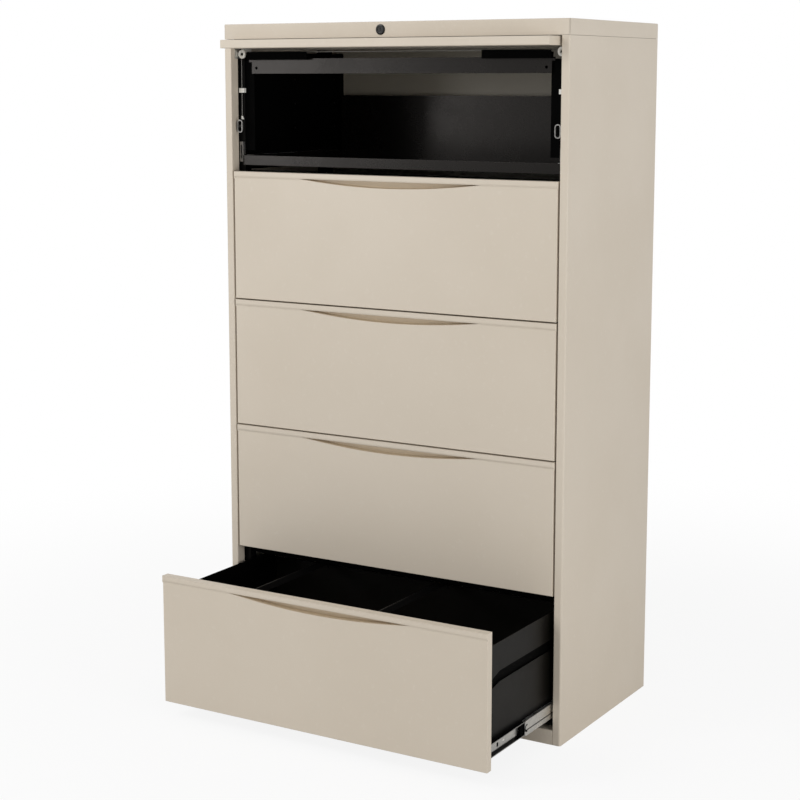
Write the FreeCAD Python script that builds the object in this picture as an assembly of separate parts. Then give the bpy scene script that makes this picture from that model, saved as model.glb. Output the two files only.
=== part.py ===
import FreeCAD, Part
import math
import os

# Lateral filing cabinet, five openings high: a receding door over a roll-out shelf, and
# four drawers on telescopic slides. The lowest drawer stands open.
# Frame in mm: X to the right, Y to the rear, Z up. The origin is on the floor, under the
# middle of the case. Depths are counted from the front plane of the case.

# Case
case_width = 914.4
case_depth = 478.0
case_sheet = 1.2
back_sheet = 1.0
front_corner_radius = 5.0
rear_corner_radius = 3.0
stile_width = 20.0
stile_return = 27.0
stile_inner_radius = 2.0
cap_height = 35.0
cap_edge_radius = 2.0
cap_flange_width = 15.0
cap_seam = 0.6
base_rail_height = 34.1

# Fronts
drawer_count = 4
front_height = 307.5
front_gap = 3.0
front_thickness = 19.0
front_sheet = 1.0
front_side_gap = 4.7
top_opening_height = 313.9

# Slides
slide_space = 12.7
slide_shortfall = 12.0
drawer_slide_height = 38.0
shelf_slide_height = 24.0
slide_sheet = 1.4
slide_clearance = 0.3
open_drawer_travel = 305.0

# Shared clearances and overruns
seat_clearance = 0.3
running_clearance = 0.05
lock_clearance = 0.6
overrun = 5.0

# Worked out from the sizes above
half_width = case_width / 2
front_y = -case_depth / 2
rear_y = case_depth / 2
opening_half = half_width - stile_width
front_half = opening_half - front_side_gap
pitch = front_height + front_gap
lowest_front_z = base_rail_height + front_gap
opening_floor_z = lowest_front_z + drawer_count * pitch - front_gap
cap_bottom_z = opening_floor_z + top_opening_height
case_height = cap_bottom_z + cap_height
skin_inner = half_width - case_sheet
back_inner_depth = case_depth - case_sheet - back_sheet

# Uprights, which carry the slides
upright_sheet = 1.5
front_upright_gap = 8.4
front_upright_depth = stile_return + front_upright_gap
upright_width = 40.0
rear_upright_gap = 35.8
rear_upright_depth = back_inner_depth - rear_upright_gap - upright_width
upright_web_x = opening_half - upright_sheet
drawer_side_x = upright_web_x - slide_space
drawer_running_gap = 0.8
upright_edge_x = drawer_side_x + drawer_running_gap
slide_notch_clearance = 3.0

# Drawer bodies
tray_sheet = 1.0
tray_rise = 20.0
tray_top_drop = 38.5
tray_side_height = front_height - tray_rise - tray_top_drop
tray_back_gap = 32.8
tray_depth = back_inner_depth - tray_back_gap - front_thickness
slide_length = tray_depth - slide_shortfall
slide_rise = 42.4
hang_rail_height = 16.0

# Door
door_front_reach = 50.0
door_thickness = 19.5
door_height = top_opening_height - 2 * front_gap
door_top_gap = 2.5
door_top_z = cap_bottom_z - door_top_gap
door_bottom_z = door_top_z - door_thickness
door_front_depth = -door_front_reach
door_rear_depth = door_front_depth + door_height

# Compartment behind the door
compartment_sheet = case_sheet
compartment_x = upright_edge_x
compartment_top_gap = 8.0
compartment_top_z = door_bottom_z - compartment_top_gap
compartment_floor_gap = 4.0
compartment_bottom_z = opening_floor_z + compartment_floor_gap
compartment_flange = 27.8
compartment_flange_drop = 20.0
compartment_flange_rise = 50.0


# Basic shapes

def at(x, depth, z):
    return FreeCAD.Vector(x, front_y + depth, z)


def block(x_range, depth_range, z_range):
    low = at(min(x_range), min(depth_range), min(z_range))
    high = at(max(x_range), max(depth_range), max(z_range))
    size = high - low
    return Part.makeBox(size.x, size.y, size.z, low)


def bar(start, end, radius):
    axis = end - start
    return Part.makeCylinder(radius, axis.Length, start, axis)


def ring(start, end, outer_radius, bore_radius):
    axis = (end - start).normalize() * overrun
    return bar(start, end, outer_radius).cut(bar(start - axis, end + axis, bore_radius))


def prism(points, direction):
    return Part.Face(Part.makePolygon(points + points[:1])).extrude(direction)


def mirrored(shape):
    return shape.mirror(FreeCAD.Vector(0, 0, 0), FreeCAD.Vector(1, 0, 0))


def both_sides(shape):
    return [shape, mirrored(shape)]


def moved(shape, x=0, y=0, z=0):
    copy = shape.copy()
    copy.translate(FreeCAD.Vector(x, y, z))
    return copy


def around(centre, reach):
    return (centre - reach, centre + reach)


def rounded(shape, radius, is_picked):
    edges = [edge for edge in shape.Edges if is_picked(edge)]
    return shape.makeFillet(radius, edges)


def runs_along(edge, direction):
    size = edge.BoundBox
    spans = {"x": size.XLength, "y": size.YLength, "z": size.ZLength}
    others = sum(span for name, span in spans.items() if name != direction)
    return spans[direction] > 0 and others < case_sheet / 100


def is_near(value, target):
    return abs(value - target) < case_sheet / 10


def upright_edge_at(x, depth):
    def is_picked(edge):
        middle = edge.BoundBox.Center
        at_corner = is_near(middle.x, x) and is_near(middle.y, front_y + depth)
        return runs_along(edge, "z") and at_corner
    return is_picked


def write(node, solids):
    shape = solids[0] if len(solids) == 1 else Part.makeCompound(solids)
    shape.exportStep("parts/" + node + ".step")
    print(node, len(solids), "valid" if shape.isValid() else "NOT VALID", round(shape.Volume))


# Case: side panels, back, cap

lug_height = 12.0
lug_gap = 2.0
lock_tab_drop = 77.5
lock_tab_rise = front_height - lock_tab_drop
lug_length = 5.5
lug_tab_gap = 0.5
lug_depths = (front_thickness - lug_tab_gap - lug_length, front_thickness - lug_tab_gap)
lug_reach = 3.0
lug_inner_x = opening_half - lug_reach
slot_clearance = 1.0

lock_throw_radius = 10.0
lock_turn = math.radians(90)
lock_throw = 2 * lock_throw_radius * math.sin(lock_turn / 2)


def front_z(level):
    return lowest_front_z + (drawer_count - level) * pitch


def lug_range(level):
    tab_z = front_z(level) + lock_tab_rise
    return (tab_z - lug_gap - lug_height, tab_z - lug_gap)


def side_panel():
    z_range = (0, cap_bottom_z - cap_seam)
    open_z = (-overrun, cap_bottom_z + overrun)
    outer = block((opening_half, half_width), (0, case_depth), z_range)
    outer = rounded(outer, front_corner_radius, upright_edge_at(half_width, 0))
    outer = rounded(outer, stile_inner_radius, upright_edge_at(opening_half, 0))
    outer = rounded(outer, rear_corner_radius, upright_edge_at(half_width, case_depth))
    inner_depths = (case_sheet, case_depth - case_sheet)
    inner = block((opening_half + case_sheet, skin_inner), inner_depths, open_z)
    inner = rounded(inner, front_corner_radius - case_sheet, upright_edge_at(skin_inner, case_sheet))
    inner_x = opening_half + case_sheet
    inner = rounded(inner, stile_inner_radius - case_sheet, upright_edge_at(inner_x, case_sheet))
    inner = rounded(inner, rear_corner_radius - case_sheet, upright_edge_at(skin_inner, inner_depths[1]))
    slot_x = (opening_half - overrun, inner_x)
    slot = block(slot_x, (stile_return, case_depth - case_sheet), open_z)
    panel = outer.cut(inner).cut(slot)
    for place in screw_places():
        panel = panel.cut(bar(at(place[0], 0, place[1]), at(place[0], case_depth + overrun, place[1]),
                              screw_radius + running_clearance).common(rear_zone()))
    return panel


def rear_zone():
    return block((0, half_width), (case_depth - 2 * stile_width, case_depth + overrun), (0, case_height))


def with_lug_slots(panel):
    for level in range(1, drawer_count + 1):
        low, high = lug_range(level)
        slot_z = (low - slot_clearance, high + lock_throw + slot_clearance)
        slot_x = (-opening_half - 2 * case_sheet, -opening_half + overrun)
        slot_depths = (lug_depths[0] - slot_clearance, lug_depths[1] + slot_clearance)
        panel = panel.cut(block(slot_x, slot_depths, slot_z))
    return panel


screw_radius = 2.0
screw_head_radius = 4.0
screw_head_height = 1.8
screw_inset = 7.0
screw_rows = 5
screw_end_gap = 60.0


def screw_places():
    step = (cap_bottom_z - 2 * screw_end_gap) / (screw_rows - 1)
    return [(opening_half + screw_inset, screw_end_gap + row * step) for row in range(screw_rows)]


def case_screws():
    screws = []
    for x, z in screw_places():
        head = bar(at(x, case_depth, z), at(x, case_depth + screw_head_height, z), screw_head_radius)
        crown = screw_head_height / 2
        head = rounded(head, crown, lambda edge: is_near(edge.BoundBox.Center.y, rear_y + screw_head_height)
                       and edge.Length > screw_head_radius)
        shank = bar(at(x, back_inner_depth - back_sheet, z), at(x, case_depth, z), screw_radius)
        screws += both_sides(head.fuse(shank))
    return screws


def back_panel():
    reach = skin_inner - rear_corner_radius
    panel = block((-reach, reach), (back_inner_depth, case_depth - case_sheet), (0, cap_bottom_z))
    for x, z in screw_places():
        hole = bar(at(x, back_inner_depth - overrun, z), at(x, case_depth + overrun, z),
                   screw_radius + running_clearance)
        panel = panel.cut(hole).cut(mirrored(hole))
    return panel


# Lock places, on the cap's front and in its hollow

lock_x = -17.5
lock_rise = 17.0
lock_z = cap_bottom_z + lock_rise
lock_flange_radius = 12.0
lock_barrel_radius = 9.5
lock_barrel_length = 28.0
lock_flange_proud = 2.0

lock_strip_width = 12.0
lock_strip_sheet = 2.0
lock_strip_inset = 9.8
lock_strip_x = -(opening_half + lock_strip_inset)
lock_strip_depths = (lug_depths[1], lug_depths[1] + lock_strip_sheet)


def top_cap():
    outer = block((-half_width, half_width), (0, case_depth), (cap_bottom_z, case_height))
    outer = rounded(outer, front_corner_radius, upright_edge_at(-half_width, 0))
    outer = rounded(outer, front_corner_radius, upright_edge_at(half_width, 0))
    outer = rounded(outer, rear_corner_radius, upright_edge_at(-half_width, case_depth))
    outer = rounded(outer, rear_corner_radius, upright_edge_at(half_width, case_depth))
    outer = rounded(outer, cap_edge_radius, lambda edge: is_near(edge.BoundBox.ZMin, case_height))
    inner = block((-skin_inner, skin_inner), (case_sheet, case_depth - case_sheet),
                  (cap_bottom_z + case_sheet, case_height - case_sheet))
    window_x = half_width - cap_flange_width
    window = block((-window_x, window_x), (cap_flange_width, case_depth - cap_flange_width),
                   (cap_bottom_z - overrun, cap_bottom_z + overrun))
    hole = bar(at(lock_x, -overrun, lock_z), at(lock_x, overrun, lock_z), lock_barrel_radius + running_clearance)
    notch_x = around(lock_strip_x, lock_strip_width / 2 + 2 * slot_clearance)
    notch_depths = around(sum(lock_strip_depths) / 2, 2 * slot_clearance + lock_strip_sheet / 2)
    notch = block(notch_x, notch_depths, (cap_bottom_z - overrun, cap_bottom_z + overrun))
    return outer.cut(inner).cut(window).cut(hole).cut(notch)


# Base

base_flange = 20.0
base_top_flange = 30.0
rear_rail_height = 30.0
channel_width = 60.0
channel_sheet = 1.5
counterweight_side_gap = 37.2
counterweight_half = opening_half - counterweight_side_gap
counterweight_length = 120.0
counterweight_back_gap = 5.8
counterweight_rear = back_inner_depth - counterweight_back_gap
counterweight_depths = (counterweight_rear - counterweight_length, counterweight_rear)
counterweight_height = 20.0


def base_rail(web_depth, direction, height, flange, top_flange):
    x_range = (-opening_half, opening_half)
    far = web_depth + direction * case_sheet
    web = block(x_range, (web_depth, far), (0, height))
    foot = block(x_range, (far, web_depth + direction * flange), (0, case_sheet))
    head = block(x_range, (far, web_depth + direction * top_flange), (height - case_sheet, height))
    return web.fuse(foot).fuse(head).removeSplitter()


def base_center_channel():
    depths = (base_flange, back_inner_depth - base_flange)
    half = channel_width / 2
    web = block((-half, half), depths, (0, channel_sheet))
    side = block((half - channel_sheet, half), depths, (channel_sheet, rear_rail_height))
    head_depth = back_inner_depth - base_top_flange - seat_clearance
    trimmed = block((0, half), (head_depth, depths[1] + overrun),
                    (rear_rail_height - 2 * case_sheet, rear_rail_height))
    side = side.cut(trimmed)
    return web.fuse(side).fuse(mirrored(side)).removeSplitter()


def counterweight():
    z_low = rear_rail_height
    return block((-counterweight_half, counterweight_half), counterweight_depths,
                 (z_low, z_low + counterweight_height))


glide_plate_z = 20.0
glide_plate_sheet = 2.0
glide_plate_width = 51.0
glide_plate_x = (skin_inner - glide_plate_width, skin_inner)
glide_plate_length = 50.0
glide_inset = 38.0
glide_x = skin_inner - glide_inset
glide_pad_radius = 16.0
glide_pad_height = 5.0
glide_stem_radius = 5.0
glide_stem_top = 34.0
glide_nut_radius = 8.5
glide_nut_height = 7.0


def glide_depths():
    front = front_upright_depth + glide_plate_length / 2
    rear = rear_upright_depth + upright_width / 2
    return (front, rear)


def glide_plates():
    plates = []
    for depth in glide_depths():
        plate = block(glide_plate_x, around(depth, glide_plate_length / 2),
                      (glide_plate_z, glide_plate_z + glide_plate_sheet))
        hole_radius = glide_stem_radius + running_clearance
        hole = bar(at(glide_x, depth, 0), at(glide_x, depth, glide_stem_top), hole_radius)
        plates += both_sides(plate.cut(hole))
    return plates


def hex_prism(centre, radius, height):
    angles = [math.radians(60) * step for step in range(6)]
    points = [centre + FreeCAD.Vector(math.cos(a), math.sin(a), 0) * radius for a in angles]
    return prism(points, FreeCAD.Vector(0, 0, height))


def leveling_glides():
    glides = []
    for depth in glide_depths():
        pad = bar(at(glide_x, depth, 0), at(glide_x, depth, glide_pad_height), glide_pad_radius)
        stem = bar(at(glide_x, depth, glide_pad_height), at(glide_x, depth, glide_stem_top), glide_stem_radius)
        nut_z = glide_plate_z - glide_nut_height
        collar = hex_prism(at(glide_x, depth, nut_z), glide_nut_radius, glide_nut_height)
        top_nut_z = glide_plate_z + glide_plate_sheet
        nut = hex_prism(at(glide_x, depth, top_nut_z), glide_nut_radius, glide_nut_height)
        bore_radius = glide_stem_radius + running_clearance
        nut = nut.cut(bar(at(glide_x, depth, 0), at(glide_x, depth, case_height), bore_radius))
        glides += both_sides(pad.fuse(stem).fuse(collar)) + both_sides(nut)
    return glides


# Uprights and rails

upright_foot_z = glide_plate_z + glide_plate_sheet
bay_rail_drop = 18.5
bay_rail_rise = front_height - bay_rail_drop
bay_rail_height = 20.0
bay_rail_flange = 15.0

track_sheet = case_sheet
roller_radius = 8.0
roller_gap = 0.1
roller_z = door_bottom_z + door_thickness / 2
track_floor_z = roller_z - roller_radius - roller_gap
track_ceiling_z = roller_z + roller_radius + roller_gap
track_side_gap = 1.5
track_inner_x = front_half + track_side_gap
track_lead = 2.1
track_depths = (front_upright_depth - track_lead, rear_upright_depth + upright_width)
track_tab_drop = 24.0
track_tab_reach = 20.5
track_tab_gap = 0.4
upright_top_z = track_floor_z - track_sheet


def slide_z(level):
    return front_z(level) + slide_rise


def upright(depth, web_top, flange_x):
    depths = (depth, depth + upright_width)
    z_range = (upright_foot_z, web_top)
    web = block((upright_web_x, opening_half), depths, z_range)
    front = block((opening_half, skin_inner), (depth, depth + upright_sheet), z_range)
    rear = block((opening_half, skin_inner), (depths[1] - upright_sheet, depths[1]), z_range)
    shape = web.fuse(front).fuse(rear)
    if flange_x < upright_web_x:
        flange = block((flange_x, upright_web_x), (depth, depth + upright_sheet),
                       (upright_foot_z, compartment_top_z))
        for level in range(1, drawer_count + 1):
            reach = drawer_slide_height / 2 + slide_notch_clearance
            notch_x = (flange_x - overrun, upright_web_x)
            notch_depths = (depth - overrun, depth + 2 * overrun)
            flange = flange.cut(block(notch_x, notch_depths, around(slide_z(level), reach)))
        shape = shape.fuse(flange)
    return shape.removeSplitter()


def bay_rails():
    rails = []
    rail_depth = front_upright_depth + upright_sheet
    x_range = (-upright_web_x, upright_web_x)
    for level in range(1, drawer_count + 1):
        low = front_z(level) + bay_rail_rise
        high = low + bay_rail_height
        web = block(x_range, (rail_depth, rail_depth + upright_sheet), (low, high))
        flange = block(x_range, (rail_depth + upright_sheet, rail_depth + bay_rail_flange),
                       (high - upright_sheet, high))
        rails.append(web.fuse(flange).removeSplitter())
    return rails


# Top opening

cross_bar_side_gap = 24.8
cross_bar_half = compartment_x - cross_bar_side_gap
cross_bar_sheet = 1.5
cross_bar_setback = 3.4
cross_bar_depth = front_upright_depth - cross_bar_setback
cross_bar_drop = 24.0
cross_bar_height = 35.0
cross_bar_flange = 12.0
cross_bar_top_z = door_bottom_z - cross_bar_drop
cross_bar_bottom_z = cross_bar_top_z - cross_bar_height
cross_bar_hole_inset = 13.0
cross_bar_hole_radius = 3.7
cross_bar_tab = (8.0, 8.0)
cross_bar_ear = 25.0
ear_margin = 3.0
ear_end_gap = 1.0
ear_bore_gap = 2.0

pulley_flange_radius = 10.5
pulley_side_gap = 0.5
pulley_drop = 13.0
pulley_x = opening_half - track_sheet - pulley_side_gap - pulley_flange_radius
pulley_z = door_bottom_z - pulley_drop
pulley_flange_sheet = 4.0
pulley_lip_radius = 6.0
pulley_lip_sheet = 1.4
pulley_dish_radius = 4.6
pulley_dish_depth = 2.6
pulley_groove_radius = 3.0
pulley_width = 8.0
pulley_back_gap = 1.0
pulley_rear = front_upright_depth - pulley_back_gap
pulley_depths = (pulley_rear - pulley_width, pulley_rear)
pulley_pin_radius = 2.0
pulley_pin_head = 1.0
pulley_head_radius = 3.2
wire_radius = 0.9
wire_depth = (pulley_depths[0] + pulley_flange_sheet + pulley_depths[1] - pulley_lip_sheet) / 2
wire_turn_radius = pulley_groove_radius + wire_radius + seat_clearance

pulley_bracket_length = 170.0
pulley_bracket_gap = 20.8
pulley_bracket_end = compartment_x - pulley_bracket_gap
pulley_bracket_x = (pulley_bracket_end - pulley_bracket_length, pulley_bracket_end)
pulley_bracket_reach = 14.0
pulley_bracket_depth = cross_bar_depth - pulley_bracket_reach
pulley_bracket_sheet = 2.0
pulley_bracket_height = 19.0
pulley_bracket_lap = 3.0
pulley_bracket_z = cross_bar_top_z - pulley_bracket_lap
pulley_bracket_leg_top = pulley_z

clip_drop = 99.0
clip_z = door_bottom_z - clip_drop
clip_size = (13.8, 10.6)
clip_inset = 10.4
clip_x = opening_half - clip_inset
clip_thickness = 9.4
clip_depths = (front_upright_depth - clip_thickness, front_upright_depth)
wire_drop = 160.0
wire_end_z = door_bottom_z - wire_drop
ferrule_radius = 2.4
ferrule_length = 8.0

loop_size = (15.0, 31.0)
loop_band = 2.4
loop_thickness = 4.0
loop_reach = 22.0
loop_stem_width = 5.0
loop_drop = 184.0
loop_z = door_bottom_z - loop_drop
loop_inset = 13.4
loop_x = opening_half - loop_inset

strike_size = (9.8, 48.0)
strike_slot = (4.0, 34.0)
strike_thickness = 8.4
strike_drop = 245.5
strike_side_gap = 0.4
strike_z = door_bottom_z - strike_drop
strike_x = compartment_x + strike_side_gap + strike_size[0] / 2


def compartment_sides():
    front = front_upright_depth + upright_sheet
    panel = block((compartment_x, compartment_x + compartment_sheet), (front, back_inner_depth),
                  (compartment_bottom_z, compartment_top_z))
    flange = block((compartment_x - compartment_flange, compartment_x), (front, front + compartment_sheet),
                   (opening_floor_z + compartment_flange_rise, compartment_top_z - compartment_flange_drop))
    return both_sides(panel.fuse(flange).removeSplitter())


def door_tracks():
    web = block((skin_inner - track_sheet, skin_inner), track_depths,
                (track_floor_z - track_sheet, track_ceiling_z + track_sheet))
    tab_depths = (front_upright_depth - track_tab_gap - track_tab_reach, front_upright_depth - track_tab_gap)
    tab_z = (track_floor_z - track_sheet - track_tab_drop, track_floor_z)
    tab = block((opening_half - track_sheet, opening_half), tab_depths, tab_z)
    tab = rounded(tab, 2 * track_sheet, lambda edge: runs_along(edge, "x")
                  and is_near(edge.BoundBox.ZMax, track_floor_z - track_sheet - track_tab_drop))
    ledge_x = (track_inner_x, skin_inner - track_sheet)
    floor = block(ledge_x, track_depths, (track_floor_z - track_sheet, track_floor_z))
    ceiling = block(ledge_x, track_depths, (track_ceiling_z, track_ceiling_z + track_sheet))
    return both_sides(web.fuse(floor).fuse(ceiling).fuse(tab).removeSplitter())


glide_block_length = 30.0


def door_glides():
    depths = (front_upright_depth, front_upright_depth + glide_block_length)
    glide = block((compartment_x, front_half - seat_clearance), depths,
                  (compartment_top_z, door_bottom_z - seat_clearance))
    return both_sides(glide)


def door_cross_bar():
    x_range = (-cross_bar_half, cross_bar_half)
    z_range = (cross_bar_bottom_z, cross_bar_top_z)
    face_back = cross_bar_depth + cross_bar_sheet
    face = block(x_range, (cross_bar_depth, face_back), z_range)
    flange_depths = (face_back, cross_bar_depth + cross_bar_flange)
    flange_half = compartment_x - compartment_flange - seat_clearance
    flange_x = (-flange_half, flange_half)
    upper = block(flange_x, flange_depths, (cross_bar_top_z - cross_bar_sheet, cross_bar_top_z))
    lower = block(flange_x, flange_depths, (cross_bar_bottom_z, cross_bar_bottom_z + cross_bar_sheet))
    tab_x = (cross_bar_half, cross_bar_half + cross_bar_tab[0])
    tab = block(tab_x, (cross_bar_depth, face_back), (cross_bar_top_z - cross_bar_tab[1], cross_bar_top_z))
    shape = face.fuse(upper).fuse(lower).fuse(tab).fuse(mirrored(tab)).removeSplitter()
    hole_x = cross_bar_half - cross_bar_hole_inset
    hole_z = cross_bar_bottom_z + cross_bar_hole_inset
    hole = bar(at(hole_x, 0, hole_z), at(hole_x, face_back + seat_clearance, hole_z), cross_bar_hole_radius)
    shape = shape.cut(hole).cut(mirrored(hole))
    ear_z = (cross_bar_bottom_z + ear_margin, cross_bar_top_z - ear_margin)
    ear_end = cross_bar_half - ear_end_gap
    front = block((ear_end - cross_bar_ear, ear_end), (face_back, face_back + cross_bar_sheet), ear_z)
    ear_reach = (face_back + cross_bar_sheet, front_upright_depth + upright_sheet)
    side = block((ear_end - cross_bar_sheet, ear_end), ear_reach, ear_z)
    ear = front.fuse(side).removeSplitter()
    ear = ear.cut(bar(at(hole_x, 0, hole_z), at(hole_x, ear_reach[1], hole_z), cross_bar_hole_radius + ear_bore_gap))
    return [shape] + both_sides(ear)


def pulley_brackets():
    z_low = pulley_bracket_z
    plate_depths = (pulley_bracket_depth, pulley_bracket_depth + pulley_bracket_sheet)
    plate = block(pulley_bracket_x, plate_depths, (z_low, z_low + pulley_bracket_height))
    for x in (pulley_bracket_x[0], pulley_bracket_x[1] - pulley_bracket_sheet):
        leg = block((x, x + pulley_bracket_sheet), (plate_depths[1], cross_bar_depth),
                    (z_low, pulley_bracket_leg_top))
        plate = plate.fuse(leg)
    head_depth = pulley_depths[0] + pulley_dish_depth - running_clearance
    pin = bar(at(pulley_x, head_depth, pulley_z), at(pulley_x, front_upright_depth, pulley_z), pulley_pin_radius)
    head = bar(at(pulley_x, head_depth - pulley_pin_head, pulley_z), at(pulley_x, head_depth, pulley_z),
               pulley_head_radius)
    return both_sides(plate.removeSplitter()) + both_sides(pin.fuse(head).removeSplitter())


def pulley():
    bore = pulley_pin_radius + running_clearance
    low, high = pulley_depths
    face = at(pulley_x, low, pulley_z)
    rear = at(pulley_x, high, pulley_z)
    flange = ring(face, at(pulley_x, low + pulley_flange_sheet, pulley_z), pulley_flange_radius, bore)
    flange = rounded(flange, case_sheet, lambda edge: is_near(edge.BoundBox.YMax, face.y)
                     and edge.Length > 2 * pulley_flange_radius * math.pi - case_sheet)
    dish = bar(face, at(pulley_x, low + pulley_dish_depth, pulley_z), pulley_dish_radius)
    lip = ring(at(pulley_x, high - pulley_lip_sheet, pulley_z), rear, pulley_lip_radius, bore)
    hub = ring(at(pulley_x, low + pulley_dish_depth, pulley_z), rear, pulley_groove_radius, bore)
    return flange.cut(dish).fuse(lip).fuse(hub).removeSplitter()


def equaliser_wire():
    turn = wire_turn_radius
    outer_x = pulley_x + turn
    top_z = pulley_z + turn
    diagonal = turn * math.sin(math.radians(45))
    places = [at(-outer_x, wire_depth, wire_end_z), at(-outer_x, wire_depth, pulley_z),
              at(-pulley_x - diagonal, wire_depth, pulley_z + diagonal), at(-pulley_x, wire_depth, top_z),
              at(pulley_x, wire_depth, top_z), at(pulley_x + diagonal, wire_depth, pulley_z + diagonal),
              at(outer_x, wire_depth, pulley_z), at(outer_x, wire_depth, wire_end_z)]
    edges = [Part.LineSegment(places[0], places[1]).toShape(),
             Part.Arc(places[1], places[2], places[3]).toShape(),
             Part.LineSegment(places[3], places[4]).toShape(),
             Part.Arc(places[4], places[5], places[6]).toShape(),
             Part.LineSegment(places[6], places[7]).toShape()]
    path = Part.Wire(edges)
    profile = Part.Wire(Part.makeCircle(wire_radius, places[0], FreeCAD.Vector(0, 0, 1)))
    return path.makePipeShell([profile], True, False)


def wire_clips():
    wire_x = pulley_x + wire_turn_radius
    clip = block(around(clip_x, clip_size[0] / 2), clip_depths, around(clip_z, clip_size[1] / 2))
    hole = bar(at(wire_x, wire_depth, wire_end_z), at(wire_x, wire_depth, pulley_z), wire_radius + running_clearance)
    ferrule = bar(at(wire_x, wire_depth, wire_end_z - ferrule_length), at(wire_x, wire_depth, wire_end_z), ferrule_radius)
    foot = block(around(wire_x, ferrule_radius), (wire_depth, front_upright_depth),
                 (wire_end_z - ferrule_length, wire_end_z - ferrule_length / 2))
    return both_sides(clip.cut(hole)) + both_sides(ferrule.fuse(foot).removeSplitter())


def racetrack(size, depths):
    half = size[0] / 2
    plate = block(around(loop_x, half), depths, around(loop_z, size[1] / 2))
    return rounded(plate, half - case_sheet / 10, lambda edge: runs_along(edge, "y"))


def door_guide_loops():
    depths = (front_upright_depth - loop_reach, front_upright_depth - loop_reach + loop_thickness)
    hole_size = (loop_size[0] - 2 * loop_band, loop_size[1] - 2 * loop_band)
    hole_depths = (depths[0] - overrun, depths[1] + overrun)
    loop = racetrack(loop_size, depths).cut(racetrack(hole_size, hole_depths))
    outer_x = loop_x + loop_size[0] / 2
    stem = block((outer_x - loop_band, outer_x), (depths[0] + loop_thickness / 2, front_upright_depth),
                 around(loop_z, loop_stem_width / 2))
    return both_sides(loop.fuse(stem).removeSplitter())


def door_strikes():
    depths = (front_upright_depth - strike_thickness, front_upright_depth)
    plate = block(around(strike_x, strike_size[0] / 2), depths, around(strike_z, strike_size[1] / 2))
    slot_depths = (depths[0] - overrun, depths[1] + overrun)
    slot = block(around(strike_x, strike_slot[0] / 2), slot_depths, around(strike_z, strike_slot[1] / 2))
    slot = rounded(slot, strike_slot[0] / 2 - case_sheet / 10, lambda edge: runs_along(edge, "y"))
    plate = rounded(plate, strike_slot[0] / 2, lambda edge: runs_along(edge, "y"))
    return both_sides(plate.cut(slot))


# Slides: three nested channels

cabinet_member_reach = 10.6
middle_web_offset = 1.9
middle_reach = 11.5
middle_nose_radius = 7.0
inner_reach = 8.8
cabinet_member_lead = 3.0
middle_member_lead = 5.0
inner_member_gap = 0.5
cabinet_member_depth = stile_return - cabinet_member_lead
middle_member_depth = stile_return - middle_member_lead
inner_member_depth = front_thickness + tray_sheet + inner_member_gap
shelf_slide_gap = 1.1
shelf_slide_depth = front_upright_depth + upright_sheet + shelf_slide_gap
shelf_slide_shortfall = 20.0
shelf_lip_lead = 13.0
shelf_lip_depth = shelf_slide_depth - shelf_lip_lead
shelf_back_gap = 30.8
shelf_depth = back_inner_depth - shelf_back_gap - shelf_lip_depth
shelf_slide_length = shelf_depth - shelf_slide_shortfall
inner_slot = (8.0, 10.0)
inner_slot_setback = 42.0
inner_slot_radius = 2.0
shelf_slide_rise = 26.4
shelf_slide_z = opening_floor_z + shelf_slide_rise


def channel(web_x, direction, reach, half_height, depths, z):
    far = web_x + direction * slide_sheet
    tip = web_x + direction * reach
    web = block((web_x, far), depths, around(z, half_height))
    upper = block((far, tip), depths, (z + half_height - slide_sheet, z + half_height))
    lower = block((far, tip), depths, (z - half_height, z - half_height + slide_sheet))
    return web.fuse(upper).fuse(lower).removeSplitter()


def cabinet_member(mount_x, half_height, depth, length, z):
    return channel(mount_x, -1, cabinet_member_reach, half_height, (depth, depth + length), z)


def middle_member(mount_x, half_height, depth, length, z):
    inner_half = half_height - slide_sheet - slide_clearance
    web_x = mount_x - middle_web_offset
    member = channel(web_x, -1, middle_reach - middle_web_offset, inner_half, (depth, depth + length), z)
    nose_x = (web_x - middle_reach, web_x + overrun)
    nose = block(nose_x, (depth - overrun, depth + middle_nose_radius), around(z, half_height))
    kept = block(nose_x, (depth, depth + 2 * middle_nose_radius), around(z, inner_half))
    kept = rounded(kept, middle_nose_radius, lambda edge: runs_along(edge, "x")
                   and is_near(edge.BoundBox.YMax, front_y + depth))
    return member.cut(nose.cut(kept))


def inner_member(mount_x, half_height, depth, length, z):
    inner_half = half_height - 2 * slide_sheet - 2 * slide_clearance
    web_x = mount_x - slide_space
    member = channel(web_x, 1, inner_reach, inner_half, (depth, depth + length), z)
    slot_height = min(inner_slot[1], inner_half)
    slot = block(around(web_x, overrun), around(depth + inner_slot_setback, inner_slot[0] / 2),
                 around(z, slot_height / 2))
    return member.cut(rounded(slot, inner_slot_radius, lambda edge: runs_along(edge, "x")))


def slide_cabinet_members():
    members = []
    for level in range(1, drawer_count + 1):
        member = cabinet_member(upright_web_x, drawer_slide_height / 2, cabinet_member_depth, slide_length,
                                slide_z(level))
        members += both_sides(member)
    shelf = cabinet_member(compartment_x, shelf_slide_height / 2, shelf_slide_depth, shelf_slide_length,
                           shelf_slide_z)
    return members + both_sides(shelf)


# Drawers: front, tray, hang rails

lip_height = 13.0
lip_flat_height = 9.0
lip_blend_height = 8.0
lip_proud = 2.5
lip_depth = 5.0
lip_side_gap = 3.7
lip_half = opening_half - lip_side_gap
lip_end_radius = 3.0
pull_width_share = 0.5618
pull_half = front_half * pull_width_share
pull_sag = 16.0
pull_depth = 15.0
pull_half_share = 0.92
pull_sag_share = 0.9
pull_wall_half = 45.0
pull_wall_sag = 3.0
pan_radius = 1.5


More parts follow.
